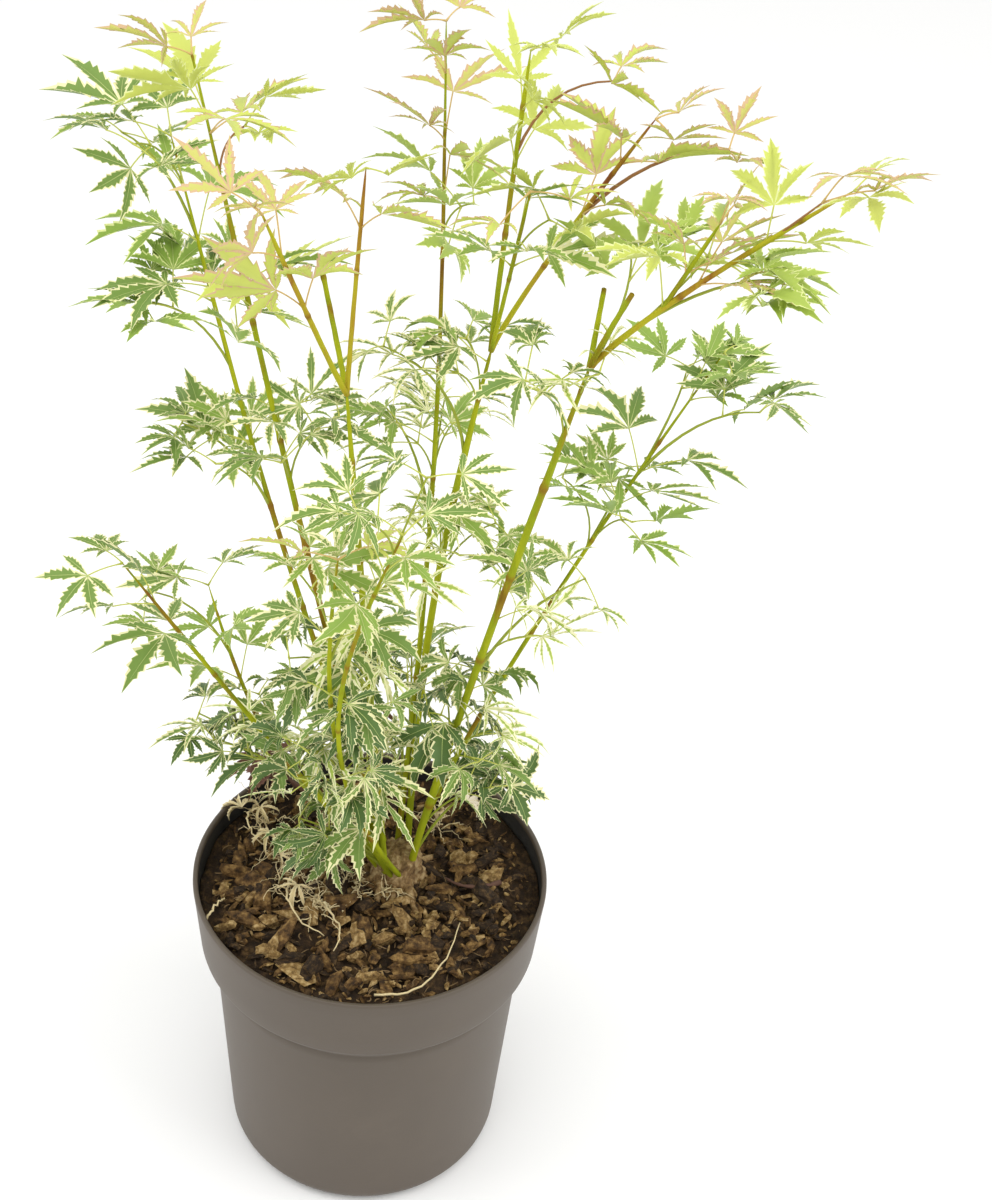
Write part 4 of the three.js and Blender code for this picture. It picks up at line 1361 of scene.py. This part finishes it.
@dataclass
class Crown:
    """Grows side shoots, leaf stalks and leaves on from the limbs, one mass after another.

    step_back is the gap between pairs on a limb and pair_step their gap on a side shoot, as a share of it.
    """

    frame: Frame
    rng: np.random.Generator
    leaves_per_volume: float = 1.12
    volume_power: float = 0.55
    pairs_at_tip: int = 3
    pairs_per_shoot: float = 2.2
    step_back: float = 0.024
    pair_step: float = 0.30
    shoot_reach: Span = (0.45, 0.66)
    shoot_rise: Span = (-0.45, 0.5)
    shoot_radius: Span = (0.0005, 0.0010)
    shoot_tip: float = 0.00042
    red_shoots: float = 0.7
    steepness: Span = (0.35, 0.75)
    seven_lobed: float = 0.2
    stalk_radius: float = 0.00034
    stalk_foot_radius: float = 0.0006
    shoot_stations: int = 9
    stalk_stations: int = 6
    leaves: list[Leaf] = field(default_factory=list)
    shoots: dict[bool, list[Array]] = field(default_factory=lambda: {False: [], True: []})
    shoot_radii: dict[bool, list[Array]] = field(default_factory=lambda: {False: [], True: []})
    stalks: dict[bool, list[Array]] = field(default_factory=lambda: {False: [], True: []})

    def grow(self) -> None:
        """Fills each mass with sprays of leaves."""
        for mass in MASSES:
            before = len(self.leaves)
            self._grow_mass(mass)
            log.info("%s: %d leaves", mass.name, len(self.leaves) - before)

    def _deal(self, habit: Habit) -> Dress:
        """Draws a dress from the habit's mix."""
        shares = np.array([share for _, share in habit.mix])
        pick = int(self.rng.choice(len(shares), p=shares / shares.sum()))
        return habit.mix[pick][0].value

    def _grow_mass(self, mass: Mass) -> None:
        """Grows the sprays of one mass: pairs on the limb itself, and side shoots round the mass's middle.

        The number of leaves rises with the mass's volume in cubic centimetres to the volume power.

        Args:
            mass: The mass to fill.
        """
        habit = mass.zone.value
        limb = self.frame.limbs[mass.limb]
        middle, half = mass.middle(), mass.half()
        volume = 4.19 * float(np.prod(half * 100))
        wanted = self.leaves_per_volume * habit.density * mass.fullness * volume**self.volume_power
        pairs = max(2, round(wanted / 2))
        on_limb = min(pairs, self.pairs_at_tip if mass.ends_limb else 1)
        for number in range(on_limb):
            share = mass.at if not mass.ends_limb else 1.0
            share -= number * self.step_back / limb.rise * (0.8 + 0.4 * self.rng.uniform())
            share = float(np.clip(share, 0.05, 1.0))
            heading = limb.way(share)
            size = 0.78 + 0.12 * number if mass.ends_limb else 1.0
            self._pair(mass, limb.point(share)[0], heading, number, self._deal(habit), size, middle, half)
        pairs -= on_limb
        shoots = max(1, math.ceil(pairs / self.pairs_per_shoot)) if pairs > 0 else 0
        turn = self.rng.uniform(0.0, TURN)
        for number in range(shoots):
            carried = math.ceil((pairs - 0.001) / (shoots - number))
            pairs -= carried
            angle = turn + number * TURN / shoots + self.rng.normal(0.0, 0.2)
            reach = self.rng.uniform(*self.shoot_reach)
            rise = self.rng.uniform(*self.shoot_rise)
            target = middle + half * np.array([reach * math.cos(angle), reach * math.sin(angle), rise])
            self._shoot(mass, limb, target, carried, middle, half)

    def _shoot(
        self, mass: Mass, limb: Limb, target: Array, pairs: int, middle: Array, half: Array
    ) -> None:
        """Grows one side shoot from the limb to a target, with pairs of leaves from its end backwards."""
        habit = mass.zone.value
        flat = float(np.hypot(*(target - limb.point(mass.at)[0])[:2]))
        share = limb.share_at_height(float(target[2]) - self.rng.uniform(0.7, 1.1) * flat - 0.006)
        share = min(share, mass.at)
        start = limb.point(share)[0]
        heading = limb.way(share)
        span = float(np.linalg.norm(target - start))
        guide = start + heading * span * 0.42 + (target - start) * 0.22 + UP * span * 0.05
        path = bent_paths(start[None], guide[None], target[None], self.shoot_stations)[0]
        red = habit.red_shoot and bool(self.rng.uniform() < self.red_shoots)
        base = float(np.clip(span * 0.014, *self.shoot_radius))
        self.shoots[red].append(path)
        self.shoot_radii[red].append(np.linspace(base, self.shoot_tip, self.shoot_stations))
        dress = self._deal(habit)
        for number in range(pairs):
            place = max(1.0 - self.pair_step * number, 0.2)
            station = place * (self.shoot_stations - 1)
            low = min(int(station), self.shoot_stations - 2)
            along = path[low] + (path[low + 1] - path[low]) * (station - low)
            way = unit(path[low + 1] - path[low])
            self._pair(mass, along, way, number, dress, 0.82 + 0.14 * number, middle, half)

    def _pair(
        self,
        mass: Mass,
        node: Array,
        way: Array,
        turn: int,
        dress: Dress,
        size: float,
        middle: Array,
        half: Array,
    ) -> None:
        """Grows an opposite pair of leaves at a node. Each pair stands crosswise to the one before.

        Args:
            mass: The mass that the pair belongs to.
            node: Where the stalks start.
            way: The shoot's direction of growth.
            turn: How many pairs came before.
            dress: How the leaves are coloured.
            size: Their size against the habit's.
            middle: The middle of the mass.
            half: Half the size of the mass.
        """
        habit = mass.zone.value
        level = np.cross(way, UP)
        if np.linalg.norm(level) <= 0.2:
            level = np.array([way[1], -way[0], 0.0]) + [0.6, 0.8, 0]
        level = unit(level)
        upright = np.cross(level, way)
        angle = turn * math.pi / 2 + self.rng.normal(0.0, 0.35)
        across = level * math.cos(angle) + upright * math.sin(angle)
        for side in (1.0, -1.0):
            out = side * across
            steep = self.rng.uniform(*self.steepness)
            direction = unit(out + way * steep + 0.12 * UP)
            length = self.rng.uniform(*habit.stalk) * size
            inward = (node + direction * (length + 0.6 * habit.lobe[1]) - middle) / np.maximum(half, 0.012)
            over = float(np.linalg.norm(inward))
            if over > 1.0:
                pull = unit(middle - node) * min(over - 1.0, 0.9)
                direction = unit(direction + pull)
                length *= 0.85
            foot = node + direction * length
            lobe = self.rng.uniform(*habit.lobe) * min(size, 1.1)
            headroom = float(middle[2] + 1.15 * half[2] - foot[2]) / lobe
            fall = max(self.rng.uniform(*habit.fall), -math.asin(min(max(headroom, -0.6), 1.0)))
            flat = unit(np.array([direction[0], direction[1], 0.0]) + 1e-6)
            flat = unit(flat + 0.35 * unit(foot - middle) * [1, 1, 0])
            axis = unit(flat * math.cos(fall) - UP * math.sin(fall))
            roll = self.rng.normal(0.0, habit.roll)
            facing = UP + np.array([0.0, habit.lean, 0.0])
            normal = unit(facing - axis * float(axis @ facing))
            normal = unit(normal * math.cos(roll) + np.cross(axis, normal) * math.sin(roll))
            bend = node + (direction * 0.55 + UP * 0.10) * length
            self.stalks[dress.red_stalk].append(np.stack([node, bend, foot]))
            self.leaves.append(
                Leaf(
                    foot, axis, normal, lobe,
                    self.rng.uniform(*dress.breadth), self.rng.uniform(*dress.margin),
                    self.rng.uniform(*habit.curl), self.rng.uniform(*habit.fold),
                    7 if self.rng.uniform() < self.seven_lobed else 5, dress, mass.name,
                )
            )

    def build(self, litter: Sequence[Leaf]) -> None:
        """Makes the side shoots, the leaf stalks and the leaves, with the withered ones of the litter."""
        names = {
            False: ("green_side_shoots", GREEN_SHOOT_FINISH),
            True: ("red_side_shoots", RED_SHOOT_FINISH),
        }
        for red, (name, finish) in names.items():
            bars = round_bars(np.array(self.shoots[red]), np.array(self.shoot_radii[red]), 7)
            make_piece(name, bars, finish)
        names = {False: ("pale_leaf_stalks", STALK_FINISH), True: ("tan_leaf_stalks", RED_STALK_FINISH)}
        for red, (name, finish) in names.items():
            guides = np.array(self.stalks[red])
            paths = bent_paths(guides[:, 0], guides[:, 1], guides[:, 2], self.stalk_stations)
            radii = np.full(paths.shape[:2], self.stalk_radius)
            radii[:, 0] = self.stalk_foot_radius
            make_piece(name, round_bars(paths, radii, 5), finish)
        Foliage().build([*self.leaves, *litter], self.rng)


# ---- Dry bits ----


@dataclass
class Litter:
    """The dry bits: tufts of fibre, withered leaves, straws and dead twigs.

    They lie on the mulch, but for a dead leaf that hangs in the crown. Each tuft is a place with its spread,
    each withered leaf a place with its dress and size, and each straw or twig the three guides of a bend. All
    are in millimetres.
    """

    tufts: tuple[tuple[float, float, float, float], ...] = (
        (-66, 52, 187, 9), (-62, 33, 184, 10), (-55, 16, 182, 8), (-44, -2, 183, 10), (-36, -16, 183, 10),
        (-27, -26, 182, 8), (8, -6, 181, 8), (-12, -2, 182, 7), (33, 42, 184, 7),
    )
    fibres: int = 15
    fibre_reach: Span = (6 * MM, 17 * MM)
    withered: tuple[tuple[float, float, float, LeafDress, float], ...] = (
        (-76, 38, 190, LeafDress.DRY, 20), (-66, 40, 189, LeafDress.DRY, 17),
        (-58, 22, 187, LeafDress.DRY, 18), (-50, 6, 187, LeafDress.DRY, 16),
        (-38, -14, 187, LeafDress.DRY, 19), (-26, -24, 185, LeafDress.DRY, 15),
        (-66, 64, 204, LeafDress.DEAD, 34), (-60, 66, 198, LeafDress.DEAD, 28),
        (-72, 58, 212, LeafDress.DEAD, 26), (48, 58, 190, LeafDress.BLEACHED, 19),
        (10, 4, 290, LeafDress.DEAD, 16), (30, 50, 187, LeafDress.DRY, 14),
    )
    straws: tuple[tuple[tuple[float, float, float], ...], ...] = (
        ((10, -78, 179), (44, -84, 185), (50, -27, 182)),
        ((-43, -4, 182), (-46, -40, 193), (-20, -43, 181)),
        ((-30, -20, 182), (-6, -34, 186), (-14, -52, 180)),
        ((-69, 50, 182), (-78, 22, 196), (-60, 18, 182)),
        ((-82, -40, 183), (-78, -30, 187), (-76, -22, 181)),
    )
    twigs: tuple[tuple[tuple[float, float, float], ...], ...] = (
        ((-40, 58, 182), (-58, 60, 200), (-72, 58, 212)),
        ((-48, 60, 186), (-60, 70, 196), (-60, 66, 214)),
        ((-36, 54, 181), (-50, 66, 192), (-70, 62, 196)),
        ((70, 6, 181), (52, -8, 185), (40, 6, 181)),
    )
    fibre_stations: int = 9
    straw_stations: int = 16
    twig_stations: int = 14
    fibre_radii: Span = (0.0002, 0.0005)
    straw_ends: Span = (0.0007, 0.0003)
    twig_ends: Span = (0.0014, 0.0005)
    lowest_fibre: float = 0.1795
    dry_fall: Span = (-0.2, 0.7)
    dry_curl: Span = (1.8, 3.4)
    dry_fold: Span = (0.7, 1.3)

    def build(self, rng: np.random.Generator) -> None:
        """Makes the fibres, straws and dead twigs."""
        count = len(self.tufts) * self.fibres
        spots = np.repeat(np.array(self.tufts), self.fibres, axis=0) * MM
        start = spots[:, :3] + rng.normal(0.0, 0.45, (count, 3)) * spots[:, 3:] * [1, 1, 0.15]
        way = unit(rng.normal(0.0, 1.0, (count, 3)) * [1, 1, 0.45] + [0, 0, 0.25])
        reach = rng.uniform(*self.fibre_reach, count)[:, None]
        middle = start + way * reach * 0.6 + rng.normal(0.0, 0.0035, (count, 3)) + UP * 0.003
        end = start + way * reach + rng.normal(0.0, 0.0030, (count, 3)) * [1, 1, 0.6]
        end[:, 2] = np.maximum(end[:, 2], self.lowest_fibre)
        fibres = bent_paths(start, middle, end, self.fibre_stations)
        fibres[:, 1:-1] += rng.normal(0.0, 0.0007, fibres[:, 1:-1].shape)
        thickest = rng.uniform(*self.fibre_radii, count)[:, None]
        fibre_radii = thickest * np.linspace(1.0, 0.4, self.fibre_stations)
        straws = np.array(self.straws) * MM
        straw_paths = bent_paths(straws[:, 0], straws[:, 1], straws[:, 2], self.straw_stations)
        straw_paths[:, 1:-1] += rng.normal(0.0, 0.0004, straw_paths[:, 1:-1].shape)
        straw_radii = np.linspace(*self.straw_ends, self.straw_stations) * np.ones((len(straws), 1))
        dry = Surface.joined([round_bars(fibres, fibre_radii, 4), round_bars(straw_paths, straw_radii, 7)])
        make_piece("dry_fibres_and_straws", dry, STRAW_FINISH)
        twigs = np.array(self.twigs) * MM
        twig_paths = bent_paths(twigs[:, 0], twigs[:, 1], twigs[:, 2], self.twig_stations)
        knots = 1 + 0.25 * np.sin(np.arange(self.twig_stations) * 2.2)
        twig_radii = np.linspace(*self.twig_ends, self.twig_stations) * knots * np.ones((len(twigs), 1))
        make_piece("dead_twigs", round_bars(twig_paths, twig_radii, 7), DEAD_FINISH)

    def leaves(self, rng: np.random.Generator) -> list[Leaf]:
        """The withered leaves, shrunk, tightly curled and folded."""
        made = []
        for x, y, z, kind, lobe in self.withered:
            dress = kind.value
            turn, fall = rng.uniform(0.0, TURN), rng.uniform(*self.dry_fall)
            flat = math.cos(fall)
            axis = np.array([math.cos(turn) * flat, math.sin(turn) * flat, -math.sin(fall)])
            level = unit(UP - axis * float(axis @ UP))
            roll = rng.normal(0.0, 0.7)
            normal = unit(level * math.cos(roll) + np.cross(axis, level) * math.sin(roll))
            foot = np.array([x, y, z]) * MM
            made.append(
                Leaf(
                    foot, axis, normal, lobe * MM, rng.uniform(*dress.breadth), rng.uniform(*dress.margin),
                    rng.uniform(*self.dry_curl), rng.uniform(*self.dry_fold), 5, dress, "litter",
                )
            )
        return made


# ---- Studio ----


@dataclass
class Studio:
    """A plain pale floor, soft light from all round and a camera in front and above."""

    floor_size: float = 14.0
    floor_colour: Rgb = (0.93, 0.93, 0.92)
    world_colour: Rgb = (1.0, 1.0, 1.0)
    world_strength: float = 0.95
    lamp_target: tuple[float, float, float] = (0.0, 0.0, 0.35)
    lens: float = 54.0
    pitch: float = 36.75
    roll: float = 4.75
    camera_place: tuple[float, float, float] = (0.0549, -0.6866, 0.8888)

    def build(self) -> None:
        """Makes the floor, the lights and the camera."""
        half = self.floor_size / 2
        mesh = bpy.data.meshes.new("studio_floor")
        corners = [(-half, -half, 0), (half, -half, 0), (half, half, 0), (-half, half, 0)]
        mesh.from_pydata(corners, [], [(0, 1, 2, 3)])
        mesh.materials.append(PlainFinish("studio_floor_paint", self.floor_colour, 0.9, 0.1).material())
        floor = bpy.data.objects.new("studio_floor", mesh)
        bpy.context.scene.collection.objects.link(floor)
        floor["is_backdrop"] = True
        world = bpy.data.worlds.new("studio_world")
        world.use_nodes = True
        background = world.node_tree.nodes["Background"]
        background.inputs["Color"].default_value = (*self.world_colour, 1.0)
        background.inputs["Strength"].default_value = self.world_strength
        bpy.context.scene.world = world
        self._lamp("right_softbox", (1.5, -0.5, 1.6), 1.3, 13.0)
        self._lamp("left_softbox", (-1.6, -0.3, 1.5), 1.3, 9.0)
        self._lamp("top_softbox", (-0.2, -0.9, 2.4), 1.6, 12.0)
        bpy.context.scene.view_settings.view_transform = "Standard"
        self._camera()

    def _lamp(self, name: str, place: tuple[float, float, float], size: float, power: float) -> None:
        """A square soft light that faces the crown."""
        data = bpy.data.lights.new(name, "AREA")
        data.size, data.energy = size, power
        lamp = bpy.data.objects.new(name, data)
        lamp.location = place
        aim = Vector(self.lamp_target) - Vector(place)
        lamp.rotation_euler = aim.to_track_quat("-Z", "Y").to_euler()
        bpy.context.scene.collection.objects.link(lamp)

    def _camera(self) -> None:
        """The camera: in front, a little to the right, turned down by pitch and rolled by roll degrees."""
        data = bpy.data.cameras.new("camera")
        data.lens, data.sensor_width = self.lens, 36.0
        camera = bpy.data.objects.new("camera", data)
        pitch, roll = math.radians(self.pitch), math.radians(self.roll)
        camera.rotation_euler = (
            Matrix.Rotation(math.pi / 2 - pitch, 3, "X") @ Matrix.Rotation(roll, 3, "Z")
        ).to_euler()
        camera.location = self.camera_place
        bpy.context.scene.collection.objects.link(camera)
        bpy.context.scene.camera = camera


def main() -> list[list[float]]:
    """Builds the plant over its frame.

    Returns:
        The frame's own box, lowest and highest corner.
    """
    logging.basicConfig(level=logging.INFO, format="%(name)s %(message)s")
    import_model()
    cad_box = [list(corner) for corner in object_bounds()]
    rng = np.random.default_rng(SEED)
    Pot().build()
    Mulch().build(rng)
    rootstock = Rootstock()
    rootstock.build(rng)
    frame = Frame()
    frame.place(rootstock)
    frame.build()
    crown = Crown(frame, rng)
    crown.grow()
    litter = Litter()
    litter.build(rng)
    crown.build(litter.leaves(rng))
    Studio().build()
    log.info("leaves in all: %d", len(crown.leaves))
    return cad_box


if __name__ == "__main__":
    frame_box = main()
